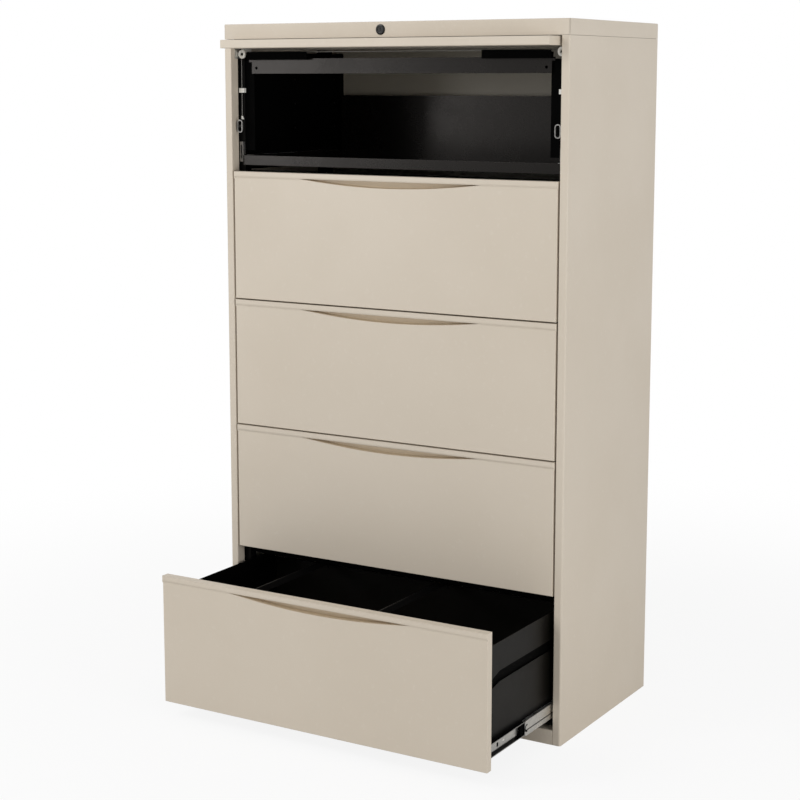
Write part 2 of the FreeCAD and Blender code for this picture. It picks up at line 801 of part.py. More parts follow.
def crescent(half, sag, top_z, depth):
    left = at(-half, depth, top_z)
    low = at(0, depth, top_z - sag)
    right = at(half, depth, top_z)
    return Part.Wire([Part.Arc(left, low, right).toShape(), Part.LineSegment(right, left).toShape()])


def pull_pocket(top_z):
    near = crescent(pull_half, pull_sag, top_z, 0)
    far = crescent(pull_half * pull_half_share, pull_sag * pull_sag_share, top_z, pull_depth)
    return Part.makeLoft([near, far], True, True)


def pull_mouth(top_z):
    return Part.Face(crescent(pull_half, pull_sag, top_z, 0)).extrude(FreeCAD.Vector(0, -overrun, 0))


def pull_shell(top_z):
    near = crescent(pull_half + pull_wall_half, pull_sag + pull_wall_sag, top_z + front_sheet, 0)
    far = crescent(pull_half * pull_half_share + pull_wall_half, pull_sag * pull_sag_share + pull_wall_sag,
                   top_z + front_sheet, pull_depth + front_sheet)
    return Part.makeLoft([near, far], True, True)


def drawer_lip(high):
    x = -lip_half
    step = lip_proud / 2
    drop = lip_blend_height / 2
    radius = (step ** 2 + drop ** 2) / (2 * step)
    half_turn = math.atan2(drop, radius - step) / 2
    sway = radius * (1 - math.cos(half_turn))
    dip = radius * math.sin(half_turn)
    flat_z = high - lip_flat_height
    low_z = flat_z - lip_blend_height
    start = at(x, -lip_proud, flat_z)
    middle = at(x, -step, flat_z - drop)
    end = at(x, 0, low_z)
    corners = [end, at(x, lip_depth, low_z), at(x, lip_depth, high), at(x, -lip_proud, high), start]
    edges = [Part.Arc(start, at(x, sway - lip_proud, flat_z - dip), middle).toShape(),
             Part.Arc(middle, at(x, -sway, low_z + dip), end).toShape()]
    edges += [Part.LineSegment(*pair).toShape() for pair in zip(corners, corners[1:])]
    lip = Part.Face(Part.Wire(edges)).extrude(FreeCAD.Vector(2 * lip_half, 0, 0))
    ends = block((-lip_half, lip_half), (-lip_proud, lip_depth), (low_z, high))
    ends = rounded(ends, lip_end_radius, lambda edge: runs_along(edge, "z")
                   and is_near(edge.BoundBox.YMax, front_y - lip_proud))
    return lip.common(ends)


def drawer_front(level):
    low = front_z(level)
    high = low + front_height
    pan = block((-front_half, front_half), (0, front_thickness), (low, high))
    pan = rounded(pan, pan_radius, lambda edge: is_near(edge.BoundBox.YMax, front_y)
                  and (runs_along(edge, "z") or is_near(edge.BoundBox.ZMax, low)))
    hollow_half = front_half - front_sheet
    hollow = block((-hollow_half, hollow_half), (front_sheet, front_thickness + overrun),
                   (low + front_sheet, high - front_sheet))
    pan = pan.cut(hollow)
    pocket_top_z = high - lip_height
    pan = pan.fuse(pull_shell(pocket_top_z)).fuse(drawer_lip(high))
    pan = pan.cut(pull_pocket(pocket_top_z)).cut(pull_mouth(pocket_top_z)).removeSplitter()
    liner_half = hollow_half - seat_clearance
    liner_margin = front_sheet + seat_clearance
    liner = block((-liner_half, liner_half), (front_thickness - front_sheet, front_thickness),
                  (low + liner_margin, high - liner_margin))
    return [pan, liner]


rim_width = 2.5
rim_height = 6.0
groove_depth = 5.0
groove_height = 24.0
groove_below_top = 88.0
groove_rise = front_height - tray_top_drop - groove_below_top
groove_front = 74.0
groove_rear_gap = 43.0
groove_rear = front_thickness + tray_depth - groove_rear_gap
groove_drop = (42.0, 9.0)

rail_places_share = (-0.6115, 0.1991)
hang_rail_thickness = 3.0
hang_hook_length = 10.0


def tray_bottom_z(level):
    return front_z(level) + tray_rise


def side_groove(low, outer_x, inner_x, margin):
    z0 = low + groove_rise - tray_rise - margin
    z1 = low + groove_rise - tray_rise + groove_height + margin
    bend = groove_front
    front = bend - groove_drop[0]
    points = [at(outer_x, front, z0 - groove_drop[1]), at(outer_x, bend, z0),
              at(outer_x, groove_rear + margin, z0),
              at(outer_x, groove_rear + margin, z1), at(outer_x, bend - margin, z1),
              at(outer_x, front - groove_drop[1], z0 + groove_drop[1])]
    return prism(points, FreeCAD.Vector(inner_x - outer_x, 0, 0))


def drawer_tray(level):
    low = tray_bottom_z(level)
    top = low + tray_side_height
    wall_top = top - hang_rail_height
    inner_x = drawer_side_x - tray_sheet
    wall_depths = (front_thickness, front_thickness + tray_sheet)
    rear = front_thickness + tray_depth
    bottom = block((-inner_x, inner_x), (wall_depths[1], rear - tray_sheet), (low, low + tray_sheet))
    side = block((inner_x, drawer_side_x), (wall_depths[1], rear), (low, top))
    rim = block((drawer_side_x - rim_width, drawer_side_x), (wall_depths[1], rear), (top - rim_height, top))
    bump = side_groove(low, inner_x, inner_x - groove_depth, tray_sheet)
    groove = side_groove(low, drawer_side_x + tray_sheet, drawer_side_x - groove_depth, 0)
    side = side.fuse(rim).fuse(bump).cut(groove).removeSplitter()
    front = block((-drawer_side_x, drawer_side_x), wall_depths, (low, wall_top))
    tab_z = front_z(level) + lock_tab_rise
    tab_x = (-(opening_half - slot_clearance), -drawer_side_x)
    tab = block(tab_x, wall_depths, (tab_z, tab_z + lug_height))
    back = block((-inner_x, inner_x), (rear - tray_sheet, rear), (low, wall_top))
    return [bottom, side, mirrored(side), front, back, tab]


def hang_rails(level):
    low = tray_bottom_z(level)
    top = low + tray_side_height
    wall_top = top - hang_rail_height
    rear = front_thickness + tray_depth
    rails = []
    for share in rail_places_share:
        x_range = around(share * drawer_side_x, hang_rail_thickness / 2)
        rail = block(x_range, (front_thickness, rear), (wall_top, top))
        hook_start = front_thickness + tray_sheet + seat_clearance
        hook_end = rear - tray_sheet - seat_clearance
        for depths in ((hook_start, hook_start + hang_rail_thickness), (hook_end - hang_rail_thickness, hook_end)):
            rail = rail.fuse(block(x_range, depths, (wall_top - hang_hook_length, wall_top)))
        rails.append(rail.removeSplitter())
    return rails


def drawer_slide_inners(level):
    length = slide_length
    member = inner_member(upright_web_x, drawer_slide_height / 2, inner_member_depth, length, slide_z(level))
    return both_sides(member)


def drawer_slide_middles(level):
    member = middle_member(upright_web_x, drawer_slide_height / 2, middle_member_depth, slide_length, slide_z(level))
    return both_sides(member)


# Roll-out shelf

shelf_lip_sheet = 2.0
shelf_sheet = 1.2
shelf_back_drop = 149.9
shelf_back_height = top_opening_height - shelf_back_drop
shelf_lip_low = shelf_slide_z - shelf_slide_height / 2


def shelf_tray():
    side_x = compartment_x - slide_space
    inner_x = side_x - shelf_sheet
    lip_depths = (shelf_lip_depth, shelf_lip_depth + shelf_lip_sheet)
    rear = shelf_lip_depth + shelf_depth
    z_low = shelf_lip_low
    lip = block((-compartment_x, compartment_x), lip_depths, (z_low, z_low + shelf_slide_height))
    lip = rounded(lip, shelf_lip_sheet / 2, lambda edge: runs_along(edge, "x")
                  and is_near(edge.BoundBox.YMax, front_y + shelf_lip_depth))
    bottom = block((-inner_x, inner_x), (lip_depths[1], rear - shelf_sheet), (z_low, z_low + shelf_sheet))
    side = block((inner_x, side_x), (lip_depths[1], rear), (z_low, z_low + shelf_slide_height))
    back = block((-inner_x, inner_x), (rear - shelf_sheet, rear), (z_low, z_low + shelf_back_height))
    return [lip, bottom, side, mirrored(side), back]


def shelf_slide_inners():
    return both_sides(inner_member(compartment_x, shelf_slide_height / 2, shelf_slide_depth, shelf_slide_length,
                                   shelf_slide_z))


def shelf_slide_middles():
    return both_sides(middle_member(compartment_x, shelf_slide_height / 2, shelf_slide_depth, shelf_slide_length,
                                    shelf_slide_z))


# Receding door

door_radius = 2.0
axle_setback = 12.0
axle_depth = door_rear_depth + axle_setback
axle_radius = 3.0
roller_lip_gap = 2.0
roller_width = 10.0
roller_x = (track_inner_x + roller_lip_gap, track_inner_x + roller_lip_gap + roller_width)
axle_laps = (8.0, 16.0)
axle_x = (track_inner_x - axle_laps[0], track_inner_x + axle_laps[1])
hinge_plate_gap = 3.5
hinge_plate_sheet = 2.5
hinge_plate_x = (track_inner_x - hinge_plate_gap - hinge_plate_sheet, track_inner_x - hinge_plate_gap)
hinge_plate_reach = 8.0
hinge_plate_margin = 2.0


def door_panel():
    x_range = (-front_half, front_half)
    depths = (door_front_depth, door_rear_depth)
    pan = block(x_range, depths, (door_bottom_z, door_top_z))
    pan = rounded(pan, door_radius, lambda edge: is_near(edge.BoundBox.YMax, front_y + door_front_depth))
    hollow_half = front_half - front_sheet
    hollow = block((-hollow_half, hollow_half), (depths[0] + front_sheet, depths[1] - front_sheet),
                   (door_bottom_z - overrun, door_top_z - front_sheet))
    liner_half = hollow_half - seat_clearance
    margin = front_sheet + seat_clearance
    liner = block((-liner_half, liner_half), (depths[0] + margin, depths[1] - margin),
                  (door_bottom_z, door_bottom_z + front_sheet))
    return [pan.cut(hollow), liner]


def door_hinge_brackets():
    z_range = (door_bottom_z + hinge_plate_margin, door_top_z - hinge_plate_margin)
    plate = block(hinge_plate_x, (door_rear_depth, axle_depth + hinge_plate_reach), z_range)
    hole = bar(at(hinge_plate_x[0] - overrun, axle_depth, roller_z), at(half_width, axle_depth, roller_z),
               axle_radius + running_clearance)
    foot = block((hinge_plate_x[0] - stile_width, hinge_plate_x[0]),
                 (door_rear_depth, door_rear_depth + hinge_plate_margin), z_range)
    return both_sides(plate.cut(hole).fuse(foot).removeSplitter())


def door_axles():
    axle = bar(at(axle_x[0], axle_depth, roller_z), at(axle_x[1], axle_depth, roller_z), axle_radius)
    head = bar(at(axle_x[0] - axle_radius, axle_depth, roller_z), at(axle_x[0], axle_depth, roller_z),
               1.5 * axle_radius)
    return both_sides(axle.fuse(head).removeSplitter())


def door_rollers():
    start = at(roller_x[0], axle_depth, roller_z)
    end = at(roller_x[1], axle_depth, roller_z)
    return both_sides(ring(start, end, roller_radius, axle_radius + running_clearance))


# Lock train: plug and cam, cross rod, bell crank, vertical bar

plug_radius = 7.0
plug_proud = 1.2
tail_radius = 3.0
keyway = (1.6, 8.0, 6.0)
cam_depths = (29.0, 31.0)
cam_hub_radius = 6.0
cam_pin_radius = 2.0
rod_depths = (32.0, 34.0)
rod_margin = 3.0
rod_end_margin = 4.0
crank_depths = (35.0, 37.0)
crank_arm = 13.0
crank_rise = 12.0
crank_z = cap_bottom_z + crank_rise
crank_x = lock_strip_x + crank_arm
crank_hub_radius = 5.0
crank_pivot_radius = 2.5
crank_bracket_depths = (38.5, 40.0)
crank_bracket_half = 6.0
nut_length = 4.0
rod_guide_places_share = (0.28, 0.75)
rod_guide_width = 12.0
rod_guide_sheet = 1.5
bar_guide_places_share = (0.1, 0.5, 0.9)
bar_guide_height = 12.0
bar_foot_margin = 10.0

crank_angle = math.asin(lock_throw / 2 / crank_arm)
pin_low = lock_throw_radius * math.cos(lock_turn / 2)
cam_pin_x = lock_x - lock_throw / 2
cam_pin_z = (lock_z + pin_low, lock_z + lock_throw_radius)
crank_top_x = crank_x - lock_throw / 2
crank_top_z = (crank_z + crank_arm * math.cos(crank_angle), crank_z + crank_arm)
crank_side_x = (crank_x - crank_arm, crank_x - crank_arm * math.cos(crank_angle))
crank_side_z = crank_z - lock_throw / 2


def lock_housing():
    bore = plug_radius + running_clearance
    flange = ring(at(lock_x, -lock_flange_proud, lock_z), at(lock_x, 0, lock_z), lock_flange_radius, bore)
    barrel = ring(at(lock_x, 0, lock_z), at(lock_x, lock_barrel_length, lock_z), lock_barrel_radius, bore)
    nut = ring(at(lock_x, case_sheet, lock_z), at(lock_x, case_sheet + nut_length, lock_z), lock_flange_radius,
               lock_barrel_radius + running_clearance)
    return [flange.fuse(barrel).removeSplitter(), nut]


def lock_plug():
    plug = bar(at(lock_x, -plug_proud, lock_z), at(lock_x, lock_barrel_length, lock_z), plug_radius)
    tail = bar(at(lock_x, lock_barrel_length, lock_z), at(lock_x, cam_depths[1] + seat_clearance, lock_z), tail_radius)
    slot = block(around(lock_x, keyway[0] / 2), (-plug_proud - overrun, keyway[2]), around(lock_z, keyway[1] / 2))
    return plug.fuse(tail).cut(slot).removeSplitter()


def lever(start, end, depths, half):
    along = (end - start).normalize()
    across = FreeCAD.Vector(0, 1, 0).cross(along) * half
    shift = FreeCAD.Vector(0, front_y + depths[0] - start.y, 0)
    points = [start - across + shift, end - across + shift, end + across + shift, start + across + shift]
    return prism(points, FreeCAD.Vector(0, depths[1] - depths[0], 0))


def disc(x, z, depths, radius):
    return bar(at(x, depths[0], z), at(x, depths[1], z), radius)


def lock_cam():
    hub = disc(lock_x, lock_z, cam_depths, cam_hub_radius)
    arm = lever(at(lock_x, cam_depths[0], lock_z), at(cam_pin_x, cam_depths[0], cam_pin_z[0]), cam_depths,
                cam_pin_radius + case_sheet)
    eye = disc(cam_pin_x, cam_pin_z[0], cam_depths, cam_pin_radius + case_sheet)
    pin = disc(cam_pin_x, cam_pin_z[0], (cam_depths[1], rod_depths[1] + case_sheet / 2), cam_pin_radius)
    bore = disc(lock_x, lock_z, (0, 2 * cam_depths[1]), tail_radius + running_clearance)
    return hub.fuse(arm).fuse(eye).fuse(pin).cut(bore).removeSplitter()


def pin_slot(x_range, z_range, depths):
    reach = cam_pin_radius + lock_clearance
    slot_x = (x_range[0] - reach, x_range[1] + reach)
    slot_z = (z_range[0] - reach, z_range[1] + reach)
    return block(slot_x, (depths[0] - overrun, depths[1] + overrun), slot_z)


def rod_z_range():
    reach = cam_pin_radius + lock_clearance
    return (min(cam_pin_z[0], crank_top_z[0]) - reach - rod_margin / 2, cam_pin_z[1] + reach + rod_margin)


def lock_rod():
    reach = cam_pin_radius + lock_clearance + rod_end_margin
    rod = block((crank_top_x - reach, cam_pin_x + reach), rod_depths, rod_z_range())
    rod = rod.cut(pin_slot((cam_pin_x, cam_pin_x), cam_pin_z, rod_depths))
    return rod.cut(pin_slot((crank_top_x, crank_top_x), crank_top_z, rod_depths))


def lock_crank():
    eye_radius = cam_pin_radius + case_sheet
    shape = disc(crank_x, crank_z, crank_depths, crank_hub_radius)
    side_x = crank_side_x[1]
    for x, z, pin_depth in ((crank_top_x, crank_top_z[0], rod_depths[0] - seat_clearance),
                            (side_x, crank_side_z, lock_strip_depths[0] - seat_clearance)):
        shape = shape.fuse(lever(at(crank_x, crank_depths[0], crank_z), at(x, crank_depths[0], z),
                                 crank_depths, eye_radius))
        shape = shape.fuse(disc(x, z, crank_depths, eye_radius))
        shape = shape.fuse(disc(x, z, (pin_depth, crank_depths[0]), cam_pin_radius))
    bore = disc(crank_x, crank_z, (0, 2 * crank_depths[1]), crank_pivot_radius + running_clearance)
    return shape.cut(bore).removeSplitter()


def lock_bar():
    top_z = crank_side_z + cam_pin_radius + lock_clearance + rod_end_margin
    low_z = lug_range(drawer_count)[0] - bar_foot_margin
    x_range = around(lock_strip_x, lock_strip_width / 2)
    strip = block(x_range, lock_strip_depths, (low_z, top_z))
    strip = strip.cut(pin_slot(crank_side_x, (crank_side_z, crank_side_z), lock_strip_depths))
    lugs = []
    for level in range(1, drawer_count + 1):
        lugs.append(block((lock_strip_x, -lug_inner_x), lug_depths, lug_range(level)))
    return [strip] + lugs


def lock_guides():
    rod_low, rod_high = rod_z_range()
    roof = case_height - case_sheet
    guides = []
    for share in rod_guide_places_share:
        x_range = around(cam_pin_x + share * (crank_top_x - cam_pin_x), rod_guide_width / 2)
        plate_depths = (rod_depths[1] + seat_clearance, rod_depths[1] + seat_clearance + rod_guide_sheet)
        foot_z = (rod_low - seat_clearance - rod_guide_sheet, rod_low - seat_clearance)
        plate = block(x_range, plate_depths, (foot_z[0], roof))
        foot = block(x_range, (rod_depths[0], plate_depths[0]), foot_z)
        guides.append(plate.fuse(foot).removeSplitter())
    bracket = block(around(crank_x, crank_bracket_half), crank_bracket_depths,
                    (crank_z - crank_bracket_half, roof))
    stud = disc(crank_x, crank_z, (crank_depths[0] - seat_clearance, crank_bracket_depths[0]), crank_pivot_radius)
    guides.append(bracket.fuse(stud).removeSplitter())
    strip_back = lock_strip_depths[1] + seat_clearance
    for share in bar_guide_places_share:
        z_range = around(share * cap_bottom_z, bar_guide_height / 2)
        guides.append(block((-skin_inner, lock_strip_x + lock_strip_width / 2),
                            (strip_back, strip_back + rod_guide_sheet), z_range))
    return guides


# Write every node

def write_case():
    right = side_panel()
    write("side_panel_right", [right])
    write("side_panel_left", [with_lug_slots(mirrored(right))])
    write("back_panel", [back_panel()])
    write("top_cap", [top_cap()])
    write("base_front_rail", [base_rail(0, 1, base_rail_height, base_flange, base_top_flange)])
    write("base_rear_rail", [base_rail(back_inner_depth, -1, rear_rail_height, base_flange, base_top_flange)])
    write("base_center_channel", [base_center_channel()])
    write("counterweight", [counterweight()])
    write("glide_plates", glide_plates())
    write("leveling_glides", leveling_glides())
    write("front_uprights", both_sides(upright(front_upright_depth, upright_top_z, upright_edge_x)))
    write("rear_uprights", both_sides(upright(rear_upright_depth, upright_top_z, opening_half)))
    write("bay_rails", bay_rails())
    write("case_screws", case_screws())
    write("slide_cabinet_members", slide_cabinet_members())


def write_top_opening():
    write("compartment_sides", compartment_sides())
    write("door_tracks", door_tracks())
    write("door_glides", door_glides())
    write("door_cross_bar", door_cross_bar())
    write("pulley_brackets", pulley_brackets())
    write("cable_pulley_right", [pulley()])
    write("cable_pulley_left", [mirrored(pulley())])
    write("equaliser_wire", [equaliser_wire()])
    write("wire_clips", wire_clips())
    write("door_guide_loops", door_guide_loops())
    write("door_strikes", door_strikes())
    write("shelf_tray", shelf_tray())
    write("shelf_slide_inners", shelf_slide_inners())
    write("shelf_slide_middles", shelf_slide_middles())
    write("door_panel", door_panel())
    write("door_hinge_brackets", door_hinge_brackets())
    write("door_axles", door_axles())
    write("door_rollers", door_rollers())


def write_lock():
    write("lock_housing", lock_housing())
    write("lock_plug", [lock_plug()])
    write("lock_cam", [lock_cam()])
    write("lock_rod", [lock_rod()])
    write("lock_crank", [lock_crank()])
    write("lock_bar", lock_bar())
    write("lock_guides", lock_guides())


def write_drawers():
    for level in range(1, drawer_count + 1):
        reach = open_drawer_travel if level == drawer_count else 0
        name = "drawer_" + str(level)
        write(name + "_front", [moved(piece, y=-reach) for piece in drawer_front(level)])
        write(name + "_tray", [moved(piece, y=-reach) for piece in drawer_tray(level)])
        write(name + "_hang_rails", [moved(piece, y=-reach) for piece in hang_rails(level)])
        write(name + "_slide_inners", [moved(piece, y=-reach) for piece in drawer_slide_inners(level)])
        write(name + "_slide_middles", [moved(piece, y=-reach / 2) for piece in drawer_slide_middles(level)])


os.makedirs("parts", exist_ok=True)
write_case()
write_top_opening()
write_lock()
write_drawers()
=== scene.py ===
import bmesh
import bpy
import math
from mathutils import Matrix, Vector


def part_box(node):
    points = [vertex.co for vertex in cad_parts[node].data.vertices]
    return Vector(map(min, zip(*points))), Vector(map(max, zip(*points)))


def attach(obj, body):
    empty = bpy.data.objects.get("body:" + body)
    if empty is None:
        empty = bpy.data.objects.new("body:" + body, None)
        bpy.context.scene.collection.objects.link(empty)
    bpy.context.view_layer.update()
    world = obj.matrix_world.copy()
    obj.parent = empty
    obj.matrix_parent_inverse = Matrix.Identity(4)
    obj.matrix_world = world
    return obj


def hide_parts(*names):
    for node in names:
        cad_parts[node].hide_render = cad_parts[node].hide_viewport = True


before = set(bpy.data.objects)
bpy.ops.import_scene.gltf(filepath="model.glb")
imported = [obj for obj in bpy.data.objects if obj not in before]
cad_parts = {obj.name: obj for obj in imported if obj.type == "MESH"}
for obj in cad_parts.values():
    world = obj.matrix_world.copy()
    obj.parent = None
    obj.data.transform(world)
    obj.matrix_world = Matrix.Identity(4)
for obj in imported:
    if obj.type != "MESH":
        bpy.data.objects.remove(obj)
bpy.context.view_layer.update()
print("frame loaded:", len(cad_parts), "nodes")


# Cabinet's own places, in metres

cabinet = {
    "frontY": -0.239, "rearY": 0.239, "lowestFront": 0.0371, "pitch": 0.3105, "slideRise": 0.0424,
    "lowestSlide": 0.0795, "openTravel": 0.305, "drawerSideX": 0.4230, "compartmentX": 0.4238,
}
drawerLevels = (1, 2, 3, 4)                   # from the top down; the fourth stands open


def frontZ(level):
    return cabinet["lowestFront"] + (drawerLevels[-1] - level) * cabinet["pitch"]


def drawerShift(level):
    return -cabinet["openTravel"] if level == drawerLevels[-1] else 0.0


# Camera and light

photoCamera = {"place": (2.1196, -3.7125, 1.497), "yaw": 30.98, "pitch": -8.77, "lens": 79.73, "sensor": 36.0,
               "shiftY": -0.06}
lamps = {
    "keyLamp": {"place": (-1.7, -2.6, 3.0), "aim": (-0.1, -0.3, 1.5), "wide": 1.6, "high": 1.6, "power": 38.0},
    "gleamLamp": {"place": (-2.90, -3.75, 1.50), "aim": (-0.3, -0.2, 1.4), "wide": 0.9, "high": 1.2, "power": 20.0},
    "sideLamp": {"place": (4.0, -1.7, 0.95), "aim": (0.45, 0.0, 0.70), "wide": 1.8, "high": 1.6, "power": 54.0},
}


def addCamera():
    lens = bpy.data.cameras.new("photoCamera")
    lens.lens = photoCamera["lens"]
    lens.sensor_width = photoCamera["sensor"]
    lens.shift_y = photoCamera["shiftY"]
    camera = bpy.data.objects.new("photoCamera", lens)
    camera.location = photoCamera["place"]
    camera.rotation_euler = (math.radians(90 + photoCamera["pitch"]), 0, math.radians(photoCamera["yaw"]))
    bpy.context.collection.objects.link(camera)
    bpy.context.scene.camera = camera


def addLamps():
    for name, size in lamps.items():
        lamp = bpy.data.lights.new(name, "AREA")
        lamp.shape = "ELLIPSE"
        lamp.size = size["wide"]
        lamp.size_y = size["high"]
        lamp.energy = size["power"]
        holder = bpy.data.objects.new(name, lamp)
        holder.location = size["place"]
        holder.rotation_euler = (Vector(size["aim"]) - Vector(size["place"])).to_track_quat("-Z", "Y").to_euler()
        bpy.context.collection.objects.link(holder)


# Shader sums: a socket that adds, subtracts, multiplies and divides

noiseMiddle = 0.5


class Flow:
    def __init__(self, tree, socket=None):
        self.tree = tree
        self.socket = socket

    def make(self, kind, inputs=None, settings=None, out=0):
        node = self.tree.nodes.new("ShaderNode" + kind)
        for name, value in (settings or {}).items():
            setattr(node, name, value)
        for name, value in (inputs or {}).items():
            if isinstance(value, Flow):
                self.tree.links.new(value.socket, node.inputs[name])
            else:
                node.inputs[name].default_value = value
        return Flow(self.tree, node.outputs[out])

    def combine(self, operation, first, second):
        return self.make("Math", {0: first, 1: second}, {"operation": operation})

    def single(self, operation):
        return self.make("Math", {0: self}, {"operation": operation})

    def __add__(self, other):
        return self.combine("ADD", self, other)

    def __radd__(self, other):
        return self.combine("ADD", other, self)

    def __sub__(self, other):
        return self.combine("SUBTRACT", self, other)

    def __rsub__(self, other):
        return self.combine("SUBTRACT", other, self)

    def __mul__(self, other):
        return self.combine("MULTIPLY", self, other)

    def __truediv__(self, other):
        return self.combine("DIVIDE", self, other)

    def __abs__(self):
        return self.single("ABSOLUTE")

    def axis(self, name):
        return self.make("SeparateXYZ", {0: self}, out=name)

    def swing(self, amount):
        return (self - noiseMiddle) * amount

    def clamped(self, low, high):
        return self.make("MapRange", {"Value": self, "From Min": low, "From Max": high},
                         {"interpolation_type": "SMOOTHSTEP"})

    def blend(self, first, second):
        return self.make("Mix", {0: self, 6: first, 7: second}, {"data_type": "RGBA"}, out=2)


def newMaterial(name):
    material = bpy.data.materials.new(name)
    material.use_nodes = True
    material.node_tree.nodes.clear()
    return material, Flow(material.node_tree).make("TexCoord", out="Object")


def finishMaterial(material, surface):
    output = material.node_tree.nodes.new("ShaderNodeOutputMaterial")
    material.node_tree.links.new(surface.socket, output.inputs["Surface"])
    return material


def principled(colour, rough, normal, more):
    return normal.make("BsdfPrincipled", {"Base Color": colour, "Roughness": rough, "Normal": normal, **more})


# A noise layer has low and high limits where it is clamped, and a stretch where it runs along the metal

def grain(spot, layer):
    if "stretch" in layer:
        spot = spot.make("Mapping", {"Vector": spot, "Scale": layer["stretch"]})
    noise = spot.make("TexNoise", {"Vector": spot, "Scale": layer["scale"], "Detail": layer["detail"],
                                   "Roughness": layer["rough"]}, out="Fac")
    return noise.clamped(layer["low"], layer["high"]) if "low" in layer else noise


def relief(height, bump):
    return height.make("Bump", {"Height": height, "Strength": bump["strength"], "Distance": bump["distance"]})


# Beige powder coat, with painted shade in the finger pulls and on the inner face of the back panel

paint = {
    "beige": (0.625, 0.553, 0.458, 1), "deep": (0.600, 0.528, 0.433, 1), "dusty": (0.655, 0.592, 0.505, 1),
    "mottle": {"scale": 2.3, "detail": 4.0, "rough": 0.55, "low": 0.3, "high": 0.7},
    "speck": {"scale": 85.0, "detail": 3.0, "rough": 0.6, "low": 0.58, "high": 0.74}, "speckShare": 0.35,
    "peel": {"scale": 620.0, "detail": 2.0, "rough": 0.5}, "peelShare": 0.6,
    "orange": {"scale": 210.0, "detail": 1.0, "rough": 0.5}, "orangeShare": 0.4,
    "bump": {"strength": 0.10, "distance": 0.00012},
    "roughness": 0.46, "mottleSwing": 0.10, "peelSwing": 0.12,
    "layers": {"IOR": 1.46, "Coat Weight": 0.04, "Coat Roughness": 0.25},
}
# Painted shade colours for the finger pull recess: the upper one under the lip, the lower one darker towards the
# bottom
pull = {"lipHeight": 0.013, "lipProud": 0.0025, "sag": 0.016, "half": 0.2437, "edge": 0.0006,
        "shadeFrom": 0.1, "shadeTo": 0.9, "upper": (0.63, 0.525, 0.390, 1), "lower": (0.53, 0.430, 0.300, 1)}
# Painted shade: the back panel's inner face, which looks toward the front, is darkened as if in the shade inside the
# case
insideShade = {"colour": (0.36, 0.325, 0.26, 1), "facing": -0.5, "edge": 0.1}


# Painted shade in each drawer front's finger pull recess, browner than the face and darker towards the bottom of the
# recess
def pullShade(spot, front):
    low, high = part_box(front)
    top = high[2] - pull["lipHeight"]
    face = low[1] + pull["lipProud"]
    half, sag, edge = pull["half"], pull["sag"], pull["edge"]
    height = spot.axis("Z")
    inside = spot.axis("Y").clamped(face + edge, face + 2 * edge)
    inside = inside * (1 - abs(spot.axis("X")).clamped(half, half + edge))
    inside = inside * height.clamped(top - sag - edge, top - sag) * (1 - height.clamped(top, top + edge))
    below = (top - height) / sag
    return inside, below.clamped(pull["shadeFrom"], pull["shadeTo"]).blend(pull["upper"], pull["lower"])


def beigePaint(name, front=None, shadedInside=False):
    material, spot = newMaterial(name)
    mottle = grain(spot, paint["mottle"])
    speck = grain(spot, paint["speck"]) * paint["speckShare"]
    colour = speck.blend(mottle.blend(paint["beige"], paint["deep"]), paint["dusty"])
    # The finger pull recess gets its painted shade
    if front:
        inside, shade = pullShade(spot, front)
        colour = inside.blend(colour, shade)
    # Faces that point toward the front, the back panel's inner face, get painted shade
    if shadedInside:
        facing, edge = insideShade["facing"], insideShade["edge"]
        rearward = spot.make("NewGeometry", out="Normal").axis("Y").clamped(facing - edge, facing + edge)
        colour = rearward.blend(insideShade["colour"], colour)
    peel = grain(spot, paint["peel"])
    coat = peel * paint["peelShare"] + grain(spot, paint["orange"]) * paint["orangeShare"]
    rough = paint["roughness"] + mottle.swing(paint["mottleSwing"]) + peel.swing(paint["peelSwing"])
    return finishMaterial(material, principled(colour, rough, relief(coat, paint["bump"]), paint["layers"]))


# Black enamel

enamel = {
    "black": (0.0045, 0.0043, 0.0041, 1), "warm": (0.0056, 0.0048, 0.0038, 1), "dusty": (0.013, 0.012, 0.011, 1),
    "mottle": {"scale": 5.0, "detail": 4.0, "rough": 0.6, "low": 0.35, "high": 0.75},
    "dust": {"scale": 140.0, "detail": 3.0, "rough": 0.65, "low": 0.60, "high": 0.78}, "dustShare": 0.5,
    "peel": {"scale": 540.0, "detail": 2.0, "rough": 0.5}, "bump": {"strength": 0.12, "distance": 0.00012},
    "roughness": 0.36, "mottleSwing": 0.10, "peelSwing": 0.14, "gloss": 1.23,
}


def enamelSurface(spot, black, normal, peel):
    mottle = grain(spot, enamel["mottle"])
    dust = grain(spot, enamel["dust"]) * enamel["dustShare"] * mottle
    rough = enamel["roughness"] + mottle * enamel["mottleSwing"] + peel.swing(enamel["peelSwing"])
    return principled(dust.blend(black, enamel["dusty"]), rough, normal, {"IOR": enamel["gloss"]})


def blackEnamel():
    material, spot = newMaterial("blackEnamel")
    peel = grain(spot, enamel["peel"])
    return finishMaterial(material, enamelSurface(spot, enamel["black"], relief(peel, enamel["bump"]), peel))


# Drawer trays: black enamel with painted shade, a darker matt black, in the pressed groove and low down beside the
# slide

# The matt black is painted shade for the dark groove and the shadowed band low on the side beside the slide
tray = {"under": 0.045, "mattFrom": 0.018, "mattTo": 0.034, "grooveX": 0.4224, "sideX": 0.4168, "edge": 0.0004,
        "mattShade": (0.0012, 0.0012, 0.0011, 1), "mattRoughness": 0.62, "mattGloss": 1.08}


